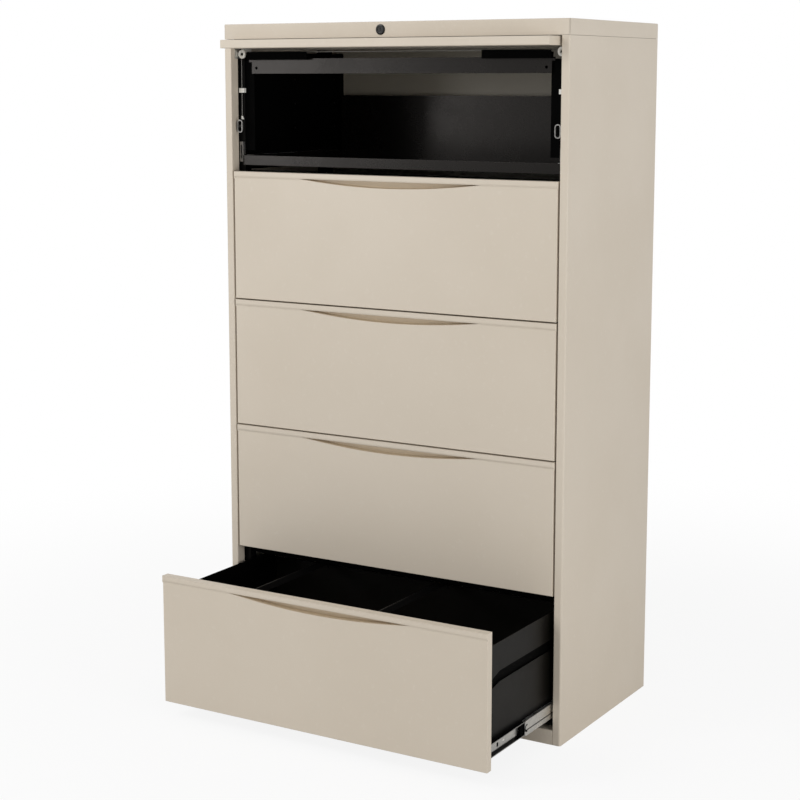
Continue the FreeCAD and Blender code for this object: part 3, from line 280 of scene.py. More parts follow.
def trayBlack():
    material, spot = newMaterial("trayBlack")
    peel = grain(spot, enamel["peel"])
    normal = relief(peel, enamel["bump"])
    glossy = enamelSurface(spot, enamel["warm"], normal, peel)
    mattShade = principled(tray["mattShade"], tray["mattRoughness"], normal, {"IOR": tray["mattGloss"]})
    outward = abs(spot.axis("X"))
    turns = (spot.axis("Z") - cabinet["lowestSlide"] + tray["under"]) / cabinet["pitch"]
    above = turns.single("FRACT") * cabinet["pitch"] - tray["under"]
    low = 1 - above.clamped(tray["mattFrom"], tray["mattTo"])
    pressed = 1 - outward.clamped(tray["grooveX"] - tray["edge"], tray["grooveX"])
    side = outward.clamped(tray["sideX"] - tray["edge"], tray["sideX"])
    # Painted shade mask: the groove floor and the low band beside the slide, on the tray's outer sides
    shadeMask = side * (1 - (1 - low) * (1 - pressed))
    return finishMaterial(material, spot.make("MixShader", {0: shadeMask, 1: glossy, 2: mattShade}))


# Satin black on the cross bar and the shelf

satin = {
    "black": (0.0032, 0.0028, 0.0025, 1), "dusty": (0.0085, 0.0072, 0.0062, 1),
    "cloud": {"scale": 7.0, "detail": 4.0, "rough": 0.6, "low": 0.35, "high": 0.75},
    "dust": {"scale": 150.0, "detail": 3.0, "rough": 0.65, "low": 0.60, "high": 0.80}, "dustShare": 0.5,
    "roughness": 0.25, "cloudSwing": 0.06, "peelSwing": 0.1,
    "layers": {"IOR": 1.28, "Specular Tint": (1.0, 0.93, 0.88, 1)},
}


def satinBlack():
    material, spot = newMaterial("satinBlack")
    cloud = grain(spot, satin["cloud"])
    peel = grain(spot, enamel["peel"])
    dust = grain(spot, satin["dust"]) * satin["dustShare"] * cloud
    rough = satin["roughness"] + cloud * satin["cloudSwing"] + peel.swing(satin["peelSwing"])
    surface = principled(dust.blend(satin["black"], satin["dusty"]), rough, relief(peel, enamel["bump"]),
                         satin["layers"])
    return finishMaterial(material, surface)


# Black enamel without its gloss, on the sheets and brackets deep in the opening

flat = {
    "black": (0.0010, 0.0010, 0.0010, 1), "dusty": (0.0030, 0.0029, 0.0028, 1),
    "dust": {"scale": 120.0, "detail": 3.0, "rough": 0.65, "low": 0.56, "high": 0.78}, "dustShare": 0.5,
    "peel": {"scale": 480.0, "detail": 2.0, "rough": 0.5}, "bump": {"strength": 0.15, "distance": 0.00012},
    "roughness": 0.62, "peelSwing": 0.2, "gloss": 1.07,
}


def flatBlack():
    material, spot = newMaterial("flatBlack")
    peel = grain(spot, flat["peel"])
    colour = (grain(spot, flat["dust"]) * flat["dustShare"]).blend(flat["black"], flat["dusty"])
    rough = flat["roughness"] + peel.swing(flat["peelSwing"])
    return finishMaterial(material, principled(colour, rough, relief(peel, flat["bump"]), {"IOR": flat["gloss"]}))


# Zinc plate, brushed the way that the piece was rolled

zinc = {
    "bright": (0.69, 0.68, 0.65, 1), "dull": (0.50, 0.50, 0.49, 1),
    "rolled": {"scale": 1.0, "detail": 3.0, "rough": 0.6}, "rolledShare": 0.4, "rolledSwing": 0.16,
    "cloud": {"scale": 28.0, "detail": 4.0, "rough": 0.6, "low": 0.35, "high": 0.7}, "cloudShare": 0.6,
    "cloudSwing": 0.14, "bump": {"strength": 0.16, "distance": 0.00006}, "roughness": 0.27,
    "long": (300.0, 6.0, 300.0), "flat": (90.0, 90.0, 12.0),
}


def zincLayers(spot, stretch):
    rolled = grain(spot, dict(zinc["rolled"], stretch=stretch))
    cloud = grain(spot, zinc["cloud"])
    shade = (cloud * zinc["cloudShare"] + rolled.swing(zinc["rolledShare"])).clamped(0.0, 1.0)
    rough = zinc["roughness"] + cloud * zinc["cloudSwing"] + rolled.swing(zinc["rolledSwing"])
    return rolled, shade.blend(zinc["bright"], zinc["dull"]), rough


def zincPlate(name, stretch):
    material, spot = newMaterial(name)
    rolled, colour, rough = zincLayers(spot, stretch)
    return finishMaterial(material, principled(colour, rough, relief(rolled, zinc["bump"]), {"Metallic": 1.0}))


# Drawer slides: bright webs between ball races painted dark as grease and shade, the flange rim kept bright as a
# painted highlight, and a pressed line along the middle member painted dark as its shade

slideSteel = {"halfPitch": 0.5, "raceFrom": 0.0082, "raceTo": 0.0094, "rim": 0.43155, "rimEdge": 0.0002,
              "rimShine": 0.7, "greaseAndShade": (0.022, 0.021, 0.020, 1), "line": -0.0046, "lineHalf": 0.0017,
              "lineCore": 0.6}


def drawerSlideSteel(name, hasRaces):
    material, spot = newMaterial(name)
    turns = (spot.axis("Z") - cabinet["lowestSlide"]) / cabinet["pitch"] + slideSteel["halfPitch"]
    level = (turns.single("FRACT") - slideSteel["halfPitch"]) * cabinet["pitch"]
    if hasRaces:
        # Ball races painted dark, partly grease and partly shade; the flange's outer rim stays bright as a painted
        # highlight
        rim = abs(spot.axis("X")).clamped(slideSteel["rim"] - slideSteel["rimEdge"],
                                          slideSteel["rim"] + slideSteel["rimEdge"])
        race = abs(level).clamped(slideSteel["raceFrom"], slideSteel["raceTo"])
        dark = race * (1 - rim * slideSteel["rimShine"])
    else:
        # The pressed line is a bump, painted dark as the shade in its groove
        off = abs(level - slideSteel["line"])
        dark = 1 - off.clamped(slideSteel["lineHalf"] * slideSteel["lineCore"], slideSteel["lineHalf"])
    rolled, shade, rough = zincLayers(spot, zinc["long"])
    normal = relief(rolled - dark, zinc["bump"])
    # Painted shade and grease go where the dark mask is high
    return finishMaterial(material, principled(dark.blend(shade, slideSteel["greaseAndShade"]), rough, normal,
                                               {"Metallic": 1.0}))


# Dull steel of the loops and strikes

dull = {
    "metal": (0.27, 0.262, 0.25, 1), "stain": (0.15, 0.145, 0.14, 1), "metallic": 0.9,
    "cloud": {"scale": 160.0, "detail": 4.0, "rough": 0.6, "low": 0.35, "high": 0.7},
    "fine": {"scale": 900.0, "detail": 2.0, "rough": 0.5}, "bump": {"strength": 0.2, "distance": 0.00005},
    "roughness": 0.42, "fineSwing": 0.14,
}


def dullSteel():
    material, spot = newMaterial("dullSteel")
    fine = grain(spot, dull["fine"])
    colour = grain(spot, dull["cloud"]).blend(dull["metal"], dull["stain"])
    rough = dull["roughness"] + fine * dull["fineSwing"]
    return finishMaterial(material, principled(colour, rough, relief(fine, dull["bump"]),
                                               {"Metallic": dull["metallic"]}))


# The valleys between the strands are painted darker as the shade between strands
wire = {"twist": 38, "scale": 260.0, "shadedValley": (0.12, 0.115, 0.11, 1), "crest": (0.34, 0.33, 0.31, 1),
        "bump": {"strength": 0.8, "distance": 0.0002}, "roughness": 0.36, "crestShine": 0.1}


def strandedWire():
    material, spot = newMaterial("strandedWire")
    turned = spot.make("Mapping", {"Vector": spot, "Rotation": (0, math.radians(wire["twist"]), 0)})
    strand = spot.make("TexWave", {"Vector": turned, "Scale": wire["scale"], "Distortion": 0.0}, out="Fac")
    rough = wire["roughness"] - strand * wire["crestShine"]
    # Strand valleys get their painted shade, crests the bright metal
    return finishMaterial(material, principled(strand.blend(wire["shadedValley"], wire["crest"]), rough,
                                               relief(strand, wire["bump"]), {"Metallic": 1.0}))


nylon = {
    "white": (0.80, 0.79, 0.745, 1), "warm": (0.74, 0.72, 0.66, 1),
    "cloud": {"scale": 90.0, "detail": 3.0, "rough": 0.5, "low": 0.3, "high": 0.7},
    "fine": {"scale": 1500.0, "detail": 2.0, "rough": 0.5}, "bump": {"strength": 0.15, "distance": 0.00005},
    "roughness": 0.42, "fineSwing": 0.12,
}


def whiteNylon():
    material, spot = newMaterial("whiteNylon")
    fine = grain(spot, nylon["fine"])
    colour = grain(spot, nylon["cloud"]).blend(nylon["white"], nylon["warm"])
    rough = nylon["roughness"] + fine * nylon["fineSwing"]
    return finishMaterial(material, principled(colour, rough, relief(fine, nylon["bump"]), {}))


# Lock metal, turned in fine rings about the lock's own middle

lockFinish = {
    "centre": (-0.0175, 0.0, 1.607), "dark": (0.016, 0.016, 0.016, 1), "bare": (0.06, 0.057, 0.055, 1),
    "worn": {"scale": 420.0, "detail": 3.0, "rough": 0.6, "low": 0.52, "high": 0.72}, "wornShare": 0.6,
    "rings": 9000.0, "bump": {"strength": 0.25, "distance": 0.00002},
    "roughness": 0.26, "ringSwing": 0.04, "wornSwing": 0.1, "metallic": 0.85,
}


def lockNickel():
    material, spot = newMaterial("lockNickel")
    centred = spot.make("Mapping", {"Vector": spot, "Location": tuple(-c for c in lockFinish["centre"])})
    disc = spot.make("VectorMath", {0: centred, 1: (1.0, 0.0, 1.0)}, {"operation": "MULTIPLY"})
    radius = spot.make("VectorMath", {0: disc}, {"operation": "LENGTH"}, out="Value")
    rings = (radius * lockFinish["rings"]).single("SINE")
    worn = grain(spot, lockFinish["worn"])
    colour = (worn * lockFinish["wornShare"]).blend(lockFinish["dark"], lockFinish["bare"])
    rough = lockFinish["roughness"] + rings * lockFinish["ringSwing"] + worn * lockFinish["wornSwing"]
    return finishMaterial(material, principled(colour, rough, relief(rings, lockFinish["bump"]),
                                               {"Metallic": lockFinish["metallic"]}))


plate = {
    "dark": (0.045, 0.044, 0.046, 1), "brown": (0.095, 0.085, 0.078, 1), "metallic": 0.6,
    "scale": {"scale": 16.0, "detail": 6.0, "rough": 0.65, "low": 0.35, "high": 0.68},
    "fine": {"scale": 260.0, "detail": 4.0, "rough": 0.6}, "bump": {"strength": 0.3, "distance": 0.0002},
    "roughness": 0.45, "scaleSwing": 0.2,
}


def rolledPlate():
    material, spot = newMaterial("rolledPlate")
    scale = grain(spot, plate["scale"])
    rough = plate["roughness"] + scale * plate["scaleSwing"]
    normal = relief(grain(spot, plate["fine"]), plate["bump"])
    return finishMaterial(material, principled(scale.blend(plate["dark"], plate["brown"]), rough, normal,
                                               {"Metallic": plate["metallic"]}))


# Levelling glides: a black pad under a threaded zinc stem

glide = {
    "padFrom": 0.0046, "padTo": 0.0052, "pad": (0.03, 0.03, 0.032, 1), "thread": 4200.0,
    "cloud": {"scale": 140.0, "detail": 4.0, "rough": 0.6, "low": 0.35, "high": 0.7},
    "bump": {"strength": 0.5, "distance": 0.0003}, "roughness": 0.3, "cloudSwing": 0.12, "padSwing": 0.25,
}


def glideMetal():
    material, spot = newMaterial("glideMetal")
    height = spot.axis("Z")
    pad = 1 - height.clamped(glide["padFrom"], glide["padTo"])
    cloud = grain(spot, glide["cloud"])
    thread = (height * glide["thread"]).single("SINE") * (1 - pad)
    colour = pad.blend(cloud.blend(zinc["bright"], zinc["dull"]), glide["pad"])
    rough = glide["roughness"] + cloud * glide["cloudSwing"] + pad * glide["padSwing"]
    return finishMaterial(material, principled(colour, rough, relief(thread, glide["bump"]), {"Metallic": 1 - pad}))


def makeFinishes():
    finishes = {"front%d" % level: beigePaint("frontPaint%d" % level, "drawer_%d_front" % level)
                for level in drawerLevels}
    finishes.update({
        "beige": beigePaint("beigePaint"), "back": beigePaint("backPaint", shadedInside=True),
        "black": blackEnamel(), "tray": trayBlack(), "satin": satinBlack(), "flat": flatBlack(),
        "zincLong": zincPlate("zincLong", zinc["long"]), "zincFlat": zincPlate("zincFlat", zinc["flat"]),
        "innerRail": drawerSlideSteel("innerRail", True), "middleRail": drawerSlideSteel("middleRail", False),
        "dull": dullSteel(), "wire": strandedWire(), "nylon": whiteNylon(), "lock": lockNickel(),
        "plate": rolledPlate(), "glide": glideMetal(),
    })
    return finishes


finishOf = {
    "beige": ["side_panel_left", "side_panel_right", "top_cap", "base_front_rail", "door_panel"],
    "back": ["back_panel"],
    "satin": ["door_cross_bar", "shelf_tray"],
    "tray": ["drawer_%d_tray" % level for level in drawerLevels],
    "flat": ["door_hinge_brackets", "compartment_sides", "pulley_brackets", "rear_uprights", "bay_rails"],
    "zincLong": ["slide_cabinet_members", "shelf_slide_inners", "shelf_slide_middles", "door_tracks"],
    "zincFlat": ["case_screws", "lock_cam", "lock_rod", "lock_crank", "lock_bar", "lock_guides", "door_axles"],
    "innerRail": ["drawer_%d_slide_inners" % level for level in drawerLevels],
    "middleRail": ["drawer_%d_slide_middles" % level for level in drawerLevels],
    "dull": ["door_guide_loops", "door_strikes"],
    "wire": ["equaliser_wire"],
    "nylon": ["door_glides", "cable_pulley_left", "cable_pulley_right", "wire_clips", "door_rollers"],
    "lock": ["lock_housing", "lock_plug"],
    "plate": ["counterweight"],
    "glide": ["leveling_glides"],
}
finishOf.update({"front%d" % level: ["drawer_%d_front" % level] for level in drawerLevels})


def dressFrame(finishes):
    chosen = {node: finish for finish, nodes in finishOf.items() for node in nodes}
    for node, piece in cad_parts.items():
        piece.data.materials.clear()
        piece.data.materials.append(finishes[chosen.get(node, "black")])


# Floor and sky: both white to the camera, and the floor keeps the cabinet's shadow

studio = {
    "sky": 0.56, "white": (1, 1, 1, 1), "floorHalf": 7.0, "floorLevel": -0.0004,
    "floorColour": (0.80, 0.80, 0.80, 1), "nearLift": 0.88, "fadeFrom": 0.8, "fadeTo": 2.6,
    "underX": (0.446, 0.456), "underY": (0.232, 0.240),
}


def addFloor():
    half, level = studio["floorHalf"], studio["floorLevel"]
    mesh = bpy.data.meshes.new("floor")
    mesh.from_pydata([(-half, -half, level), (half, -half, level), (half, half, level), (-half, half, level)], [],
                     [(0, 1, 2, 3)])
    floor = bpy.data.objects.new("floor", mesh)
    bpy.context.collection.objects.link(floor)
    material, spot = newMaterial("paleFloor")
    ground = spot.make("VectorMath", {0: spot, 1: (1.0, 1.0, 0.0)}, {"operation": "MULTIPLY"})
    away = spot.make("VectorMath", {0: ground}, {"operation": "LENGTH"}, out="Value")
    away = away.clamped(studio["fadeFrom"], studio["fadeTo"])
    under = (1 - abs(spot.axis("X")).clamped(*studio["underX"])) * (1 - abs(spot.axis("Y")).clamped(*studio["underY"]))
    seen = spot.make("LightPath", out="Is Camera Ray") * (1 - under)
    shaded = spot.make("BsdfDiffuse", {"Color": studio["floorColour"]})
    white = spot.make("Emission", {"Color": studio["white"], "Strength": 1.0})
    lift = seen * (studio["nearLift"] + away * (1 - studio["nearLift"]))
    finishMaterial(material, spot.make("MixShader", {0: lift, 1: shaded, 2: white}))
    mesh.materials.append(material)


def addSky():
    world = bpy.data.worlds.new("studioSky")
    world.use_nodes = True
    world.node_tree.nodes.clear()
    start = Flow(world.node_tree)
    camera = start.make("LightPath", out="Is Camera Ray")
    glossy = start.make("LightPath", out="Is Glossy Ray")
    through = start.make("LightPath", out="Is Transmission Ray")
    seen = start.combine("MINIMUM", camera + glossy + through, 1.0)
    light = start.make("Background", {"Color": studio["white"], "Strength": studio["sky"]})
    white = start.make("Background", {"Color": studio["white"], "Strength": 1.0})
    both = start.make("MixShader", {0: seen, 1: light, 2: white})
    output = world.node_tree.nodes.new("ShaderNodeOutputWorld")
    world.node_tree.links.new(both.socket, output.inputs["Surface"])
    bpy.context.scene.world = world


# Small mesh makers

meshing = {"mergeGap": 0.000001, "latheGap": 0.0000005, "sharpAngle": 35, "roundProfile": 0.5}


def meshPiece(name, build, material):
    data = bmesh.new()
    build(data)
    bmesh.ops.remove_doubles(data, verts=data.verts, dist=meshing["mergeGap"])
    bmesh.ops.recalc_face_normals(data, faces=data.faces)
    mesh = bpy.data.meshes.new(name)
    data.to_mesh(mesh)
    data.free()
    mesh.materials.append(material)
    piece = bpy.data.objects.new(name, mesh)
    bpy.context.collection.objects.link(piece)
    return piece


def addTo(data, part, matrix=None):
    if matrix is not None:
        part.transform(matrix)
    mesh = bpy.data.meshes.new("part")
    part.to_mesh(mesh)
    part.free()
    data.from_mesh(mesh)
    bpy.data.meshes.remove(mesh)


def softBlock(data, low, high, bevel, segments=2):
    part = bmesh.new()
    bmesh.ops.create_cube(part, size=1.0)
    size = [b - a for a, b in zip(low, high)]
    middle = [(a + b) / 2 for a, b in zip(low, high)]
    bmesh.ops.scale(part, vec=size, verts=part.verts)
    bmesh.ops.translate(part, vec=middle, verts=part.verts)
    if bevel:
        bmesh.ops.bevel(part, geom=part.edges[:], offset=bevel, segments=segments,
                        profile=meshing["roundProfile"], affect="EDGES")
    addTo(data, part)


def lathe(data, profile, centre, axis, steps):
    part = bmesh.new()
    ring = [part.verts.new((radius, 0, along)) for radius, along in profile]
    for first, second in zip(ring, ring[1:]):
        part.edges.new((first, second))
    bmesh.ops.spin(part, geom=part.verts[:] + part.edges[:], cent=(0, 0, 0), axis=(0, 0, 1), dvec=(0, 0, 0),
                   angle=math.tau, steps=steps, use_duplicate=False)
    bmesh.ops.remove_doubles(part, verts=part.verts, dist=meshing["latheGap"])
    turn = Vector((0, 0, 1)).rotation_difference(Vector(axis)).to_matrix().to_4x4()
    addTo(data, part, Matrix.Translation(centre) @ turn)


def smoothShade(piece):
    piece.data.polygons.foreach_set("use_smooth", [True] * len(piece.data.polygons))
    piece.data.set_sharp_from_angle(angle=math.radians(meshing["sharpAngle"]))


# Rows of small repeated shapes, made with geometry nodes

domeMesh = {"Segments": 20, "Rings": 10}


def rowTree(name, isDome):
    tree = bpy.data.node_groups.new(name, "GeometryNodeTree")
    tree.interface.new_socket("Geometry", in_out="OUTPUT", socket_type="NodeSocketGeometry")
    wanted = {"Count": "Int", "Start": "Vector", "Step": "Vector", "Facing": "Vector"}
    wanted.update({"Radius": "Float", "Flatness": "Float"} if isDome else {"Head": "Object"})
    wanted["Finish"] = "Material"
    for label, kind in wanted.items():
        tree.interface.new_socket(label, in_out="INPUT", socket_type="NodeSocket" + kind)
    links = tree.links
    given = tree.nodes.new("NodeGroupInput")
    line = tree.nodes.new("GeometryNodeMeshLine")
    links.new(given.outputs["Count"], line.inputs["Count"])
    links.new(given.outputs["Start"], line.inputs["Start Location"])
    links.new(given.outputs["Step"], line.inputs["Offset"])
    if isDome:
        ball = tree.nodes.new("GeometryNodeMeshUVSphere")
        for label, count in domeMesh.items():
            ball.inputs[label].default_value = count
        links.new(given.outputs["Radius"], ball.inputs["Radius"])
        squash = tree.nodes.new("ShaderNodeCombineXYZ")
        squash.inputs["X"].default_value = 1.0
        squash.inputs["Y"].default_value = 1.0
        links.new(given.outputs["Flatness"], squash.inputs["Z"])
        shape = tree.nodes.new("GeometryNodeTransform")
        links.new(ball.outputs["Mesh"], shape.inputs["Geometry"])
        links.new(squash.outputs[0], shape.inputs["Scale"])
    else:
        shape = tree.nodes.new("GeometryNodeObjectInfo")
        links.new(given.outputs["Head"], shape.inputs["Object"])
    turn = tree.nodes.new("FunctionNodeEulerToRotation")
    links.new(given.outputs["Facing"], turn.inputs[0])
    copies = tree.nodes.new("GeometryNodeInstanceOnPoints")
    links.new(line.outputs["Mesh"], copies.inputs["Points"])
    links.new(shape.outputs["Geometry"], copies.inputs["Instance"])
    links.new(turn.outputs[0], copies.inputs["Rotation"])
    real = tree.nodes.new("GeometryNodeRealizeInstances")
    links.new(copies.outputs["Instances"], real.inputs["Geometry"])
    finish = tree.nodes.new("GeometryNodeSetMaterial")
    links.new(real.outputs["Geometry"], finish.inputs["Geometry"])
    links.new(given.outputs["Finish"], finish.inputs["Material"])
    result = tree.nodes.new("NodeGroupOutput")
    links.new(finish.outputs["Geometry"], result.inputs["Geometry"])
    return tree


def rowMesh(tree, values):
    holder = bpy.data.objects.new("rowHolder", bpy.data.meshes.new("rowHolder"))
    bpy.context.collection.objects.link(holder)
    modifier = holder.modifiers.new("row", "NODES")
    modifier.node_group = tree
    identifiers = {item.name: item.identifier for item in tree.interface.items_tree if item.in_out == "INPUT"}
    for name, value in values.items():
        modifier[identifiers[name]] = value
    graph = bpy.context.evaluated_depsgraph_get()
    mesh = bpy.data.meshes.new_from_object(holder.evaluated_get(graph), depsgraph=graph)
    bpy.data.objects.remove(holder)
    return mesh


def rowsPiece(name, tree, rows, finish, body):
    data = bmesh.new()
    for row in rows:
        mesh = rowMesh(tree, dict(row, Finish=finish))
        data.from_mesh(mesh)
        bpy.data.meshes.remove(mesh)
    mesh = bpy.data.meshes.new(name)
    data.to_mesh(mesh)
    data.free()
    mesh.materials.append(finish)
    piece = bpy.data.objects.new(name, mesh)
    bpy.context.collection.objects.link(piece)
    smoothShade(piece)
    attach(piece, body)
    return piece


# Which way a dome or a screw head faces

toRight = (0, math.radians(90), 0)
toLeft = (0, math.radians(-90), 0)
toFront = (math.radians(90), 0, 0)
toRear = (math.radians(-90), 0, 0)


# Screws with a cross recess

screwHead = {"radius": 0.0040, "height": 0.0018, "sunk": 0.0004, "slotHalf": 0.0004, "slotReach": 0.0019,
             "slotDepth": 0.0009, "cutOver": 0.002, "steps": 32,
             "crown": [(1.0, 0.35), (0.93, 0.68), (0.76, 0.90), (0.55, 1.0), (0.0, 1.0)]}
rearScrews = {"count": 5, "x": 0.4442, "caseHeight": 1.590, "endInset": 0.060}
hingeScrews = {"count": 2, "x": 0.4130, "y": 0.0209, "z": 1.57775, "step": 0.0085}


def screwHeadObject(finish):
    size = screwHead

    def build(data):
        rim, rise = size["radius"], size["height"]
        profile = [(0.0, -size["sunk"]), (rim, -size["sunk"])]
        profile += [(rim * across, rise * up) for across, up in size["crown"]]
        lathe(data, profile, (0, 0, 0), (0, 0, 1), size["steps"])

    def buildCross(data):
        half, reach = size["slotHalf"], size["slotReach"]
        for spanX, spanY in ((half, reach), (reach, half)):
            softBlock(data, (-spanX, -spanY, size["height"] - size["slotDepth"]),
                      (spanX, spanY, size["height"] + size["cutOver"]), 0)

    head = meshPiece("screwHead", build, finish)
    cutter = meshPiece("screwCross", buildCross, finish)
    cut = head.modifiers.new("cut", "BOOLEAN")
    cut.object = cutter
    cut.solver = "EXACT"
    cut.use_self = True
    graph = bpy.context.evaluated_depsgraph_get()
    mesh = bpy.data.meshes.new_from_object(head.evaluated_get(graph), depsgraph=graph)
    head.modifiers.clear()
    head.data = mesh
    bpy.data.objects.remove(cutter)
    smoothShade(head)
    return head


def addScrews(finishes, screws):
    head = screwHeadObject(finishes["zincFlat"])
    rear, hinge = rearScrews, hingeScrews
    step = (rear["caseHeight"] - 2 * rear["endInset"]) / (rear["count"] - 1)
    rows = [{"Head": head, "Count": rear["count"], "Start": (side * rear["x"], cabinet["rearY"], rear["endInset"]),
             "Step": (0, 0, step), "Facing": toRear} for side in (-1, 1)]
    backScrews = rowsPiece("caseScrewHeads", screws, rows, finishes["zincFlat"], "case")
    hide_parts("case_screws")
    rows = [{"Head": head, "Count": hinge["count"], "Start": (side * hinge["x"], hinge["y"], hinge["z"]),
             "Step": (side * hinge["step"], 0, 0), "Facing": toRear} for side in (-1, 1)]
    rowsPiece("hingeScrewHeads", screws, rows, finishes["zincFlat"], "door")
    bpy.data.objects.remove(head)


# Rivets and weld marks

rivets = {"radius": 0.0032, "flat": 0.28, "count": 2, "proud": 0.0014, "lead": 0.092, "step": 0.288}
welds = {"radius": 0.0028, "flat": 0.09}
uprightWelds = {"count": 6, "x": 0.4300, "deep": 0.0354, "low": 1.299, "step": 0.046}
compartmentWelds = {"count": 3, "depths": (0.060, 0.250, 0.430), "low": 1.375, "step": 0.060}
railWelds = {"count": 9, "left": -0.40, "deep": 0.0369, "rise": 0.299, "step": 0.10}
hems = {"radius": 0.0024, "flat": 0.07}
sideHems = {"count": 13, "x": 0.4502, "low": 0.09, "step": 0.118}
baseHem = {"count": 11, "left": -0.40, "y": 0.2378, "low": 0.018, "step": 0.08}


def domeRow(count, start, step, facing, mark):
    return {"Count": count, "Start": start, "Step": step, "Facing": facing, "Radius": mark["radius"],
            "Flatness": mark["flat"]}


def addRivets(finishes, domes):
    frontY, rearY = cabinet["frontY"], cabinet["rearY"]
    for level in drawerLevels:
        z = frontZ(level) + cabinet["slideRise"]
        y = frontY + rivets["lead"] + drawerShift(level)
        rows = []
        for side, facing in ((-1, toLeft), (1, toRight)):
            web = side * (cabinet["drawerSideX"] + rivets["proud"])
            rows.append(domeRow(rivets["count"], (web, y, z), (0, rivets["step"], 0), facing, rivets))
        rowsPiece("drawer%dSlideRivets" % level, domes, rows, finishes["zincLong"], "drawer_%d" % level)
    marks = []
    for side, facing in ((-1, toRight), (1, toLeft)):
        size = uprightWelds
        marks.append(domeRow(size["count"], (side * size["x"], frontY + size["deep"], size["low"]),
                             (0, 0, size["step"]), toFront, welds))
        size = compartmentWelds
        for depth in size["depths"]:
            marks.append(domeRow(size["count"], (side * cabinet["compartmentX"], frontY + depth, size["low"]),
                                 (0, 0, size["step"]), facing, welds))
    size = railWelds
    for level in drawerLevels:
        marks.append(domeRow(size["count"], (size["left"], frontY + size["deep"], frontZ(level) + size["rise"]),
                             (size["step"], 0, 0), toFront, welds))
    rowsPiece("innerWeldMarks", domes, marks, finishes["black"], "case")
    size = sideHems
    marks = [domeRow(size["count"], (side * size["x"], rearY, size["low"]), (0, 0, size["step"]), toRear, hems)
             for side in (-1, 1)]
    size = baseHem
    marks.append(domeRow(size["count"], (size["left"], size["y"], size["low"]), (size["step"], 0, 0), toRear, hems))
    rowsPiece("rearWeldMarks", domes, marks, finishes["beige"], "case")


# Slides: black ribbed end blocks of the ball retainers

slideBlock = {"railLead": 0.0205, "setback": 0.137, "length": 0.0168, "innerX": 0.4246, "outerX": 0.4310,
              "halfHeight": 0.0130, "bevel": 0.0006}
slideRib = {"count": 4, "low": 0.0105, "step": 0.0060, "proud": 0.0004, "root": 0.001, "inset": 0.002,
            "height": 0.003, "bevel": 0.0003}


def addSlideBlocks(finishes):
    size, rib = slideBlock, slideRib
    for level in drawerLevels:
        z = frontZ(level) + cabinet["slideRise"]
        nose = cabinet["frontY"] + size["railLead"] + size["setback"] + drawerShift(level)

        def build(data):
            for side in (-1, 1):
                xs = sorted((side * size["innerX"], side * size["outerX"]))
                softBlock(data, (xs[0], nose, z - size["halfHeight"]),
                          (xs[1], nose + size["length"], z + size["halfHeight"]), size["bevel"])
                ribX = sorted((side * (size["outerX"] - rib["root"]), side * (size["outerX"] + rib["proud"])))
                for turn in range(rib["count"]):
                    low = z - rib["low"] + turn * rib["step"]
                    softBlock(data, (ribX[0], nose + rib["inset"], low),
                              (ribX[1], nose + size["length"] - rib["inset"], low + rib["height"]), rib["bevel"], 1)

        piece = meshPiece("drawer%dRetainerEnds" % level, build, finishes["flat"])
        smoothShade(piece)
        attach(piece, "drawer_%d" % level)


# Slides: a dark stop tab curled round the nose of each middle member

stopTab = {"setback": 0.0095, "radius": 0.0076, "width": 0.0028, "proud": 0.00035, "sunk": 0.0001, "halfTurn": 105,
           "steps": 18, "corners": ((-0.5, False), (0.5, False), (0.5, True), (-0.5, True))}


def addStopTabs(finishes):
    size = stopTab
    for level in drawerLevels:
        low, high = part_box("drawer_%d_slide_middles" % level)
        y, z = low[1] + size["setback"], (low[2] + high[2]) / 2

        def build(data):
            for side in (-1, 1):
                rings = []
                for step in range(size["steps"] + 1):
                    turn = math.radians(size["halfTurn"]) * (2 * step / size["steps"] - 1)
                    ring = []
                    for share, isOuter in size["corners"]:
                        reach = size["radius"] + share * size["width"]
                        x = high[0] + (size["proud"] if isOuter else -size["sunk"])
                        ring.append(data.verts.new((side * x, y - reach * math.cos(turn), z + reach * math.sin(turn))))
                    rings.append(ring)
                for first, second in zip(rings, rings[1:]):
                    for corner in range(len(first)):
                        after = (corner + 1) % len(first)
                        data.faces.new((first[corner], first[after], second[after], second[corner]))
                data.faces.new(rings[0])
                data.faces.new(rings[-1])

        piece = meshPiece("drawer%dStopTabs" % level, build, finishes["flat"])
        smoothShade(piece)
        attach(piece, "drawer_%d_middle" % level)


# Lock face with a rounded rim, its barrel and its nut, as outlines of radius and depth

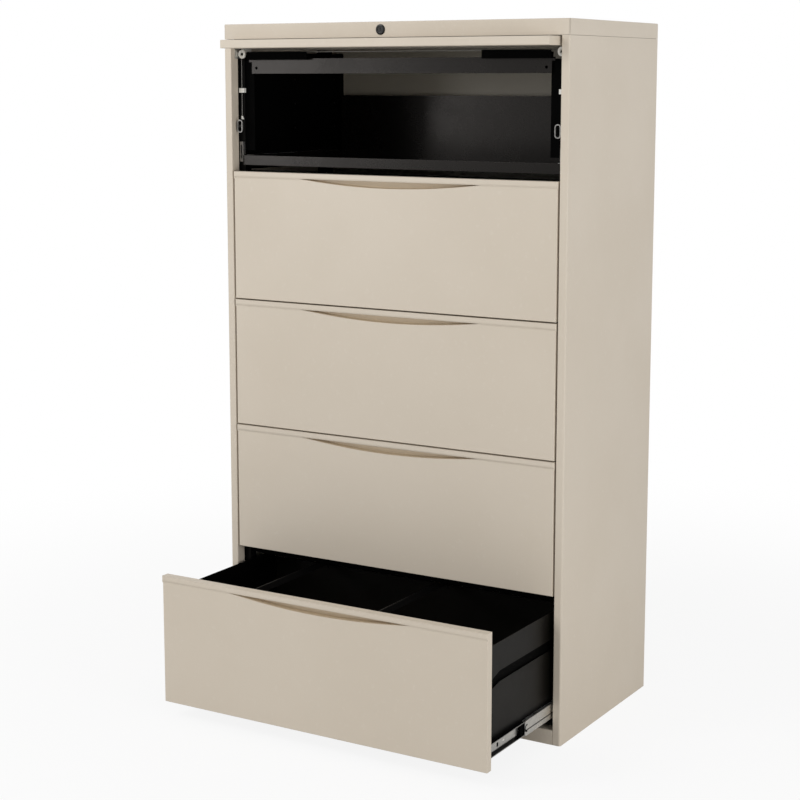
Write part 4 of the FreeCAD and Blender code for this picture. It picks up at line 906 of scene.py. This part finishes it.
lockFace = {
    "flange": [(0.00706, 0.0), (0.00706, 0.00185), (0.0074, 0.0020), (0.0092, 0.0020), (0.0098, 0.00175),
               (0.0108, 0.00170), (0.0116, 0.00140), (0.0120, 0.0008), (0.0120, 0.0), (0.00706, 0.0)],
    "barrel": [(0.00706, 0.0), (0.0095, 0.0), (0.0095, 0.0280), (0.00706, 0.0280), (0.00706, 0.0)],
    "nut": [(0.00956, 0.0012), (0.0114, 0.0012), (0.0120, 0.0018), (0.0120, 0.0046), (0.0114, 0.0052),
            (0.00956, 0.0052), (0.00956, 0.0012)],
    "flangeSteps": 64, "barrelSteps": 48, "nutSides": 6,
}


def addLockFace(finishes):
    spot = (lockFinish["centre"][0], cabinet["frontY"], lockFinish["centre"][2])

    def build(data):
        lathe(data, lockFace["flange"], spot, (0, -1, 0), lockFace["flangeSteps"])
        lathe(data, lockFace["barrel"], spot, (0, 1, 0), lockFace["barrelSteps"])
        lathe(data, lockFace["nut"], spot, (0, 1, 0), lockFace["nutSides"])

    piece = meshPiece("lockFace", build, finishes["lock"])
    smoothShade(piece)
    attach(piece, "case")
    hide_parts("lock_housing")


# Blind cups in the holes of the cross bar

barCup = {"endInset": 0.021, "rise": 0.013, "outer": 0.00360, "inner": 0.0027, "deep": 0.0080, "floor": 0.0008,
          "back": 0.0002, "steps": 32}


def addBarCups(finishes):
    size = barCup
    low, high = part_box("door_cross_bar")

    def build(data):
        outer, inner, deep = size["outer"], size["inner"], size["deep"]
        profile = [(inner, 0.0), (outer, 0.0), (outer, deep), (0.0, deep), (0.0, deep - size["floor"]),
                   (inner, deep - size["floor"]), (inner, 0.0)]
        for side in (-1, 1):
            centre = (side * (high[0] - size["endInset"]), low[1] + size["back"], low[2] + size["rise"])
            lathe(data, profile, centre, (0, 1, 0), size["steps"])

    piece = meshPiece("crossBarCups", build, finishes["flat"])
    smoothShade(piece)
    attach(piece, "case")


# Everything, in order

bpy.context.scene.view_settings.view_transform = "Standard"
addCamera()
addLamps()
addSky()
addFloor()
print("camera, floor and light placed")

finishes = makeFinishes()
dressFrame(finishes)
print("frame dressed in", len(finishes), "finishes")

domeRows = rowTree("domeRow", True)
screwRows = rowTree("screwRow", False)
addScrews(finishes, screwRows)
addRivets(finishes, domeRows)
addSlideBlocks(finishes)
addStopTabs(finishes)
addLockFace(finishes)
addBarCups(finishes)
print("small pieces made")
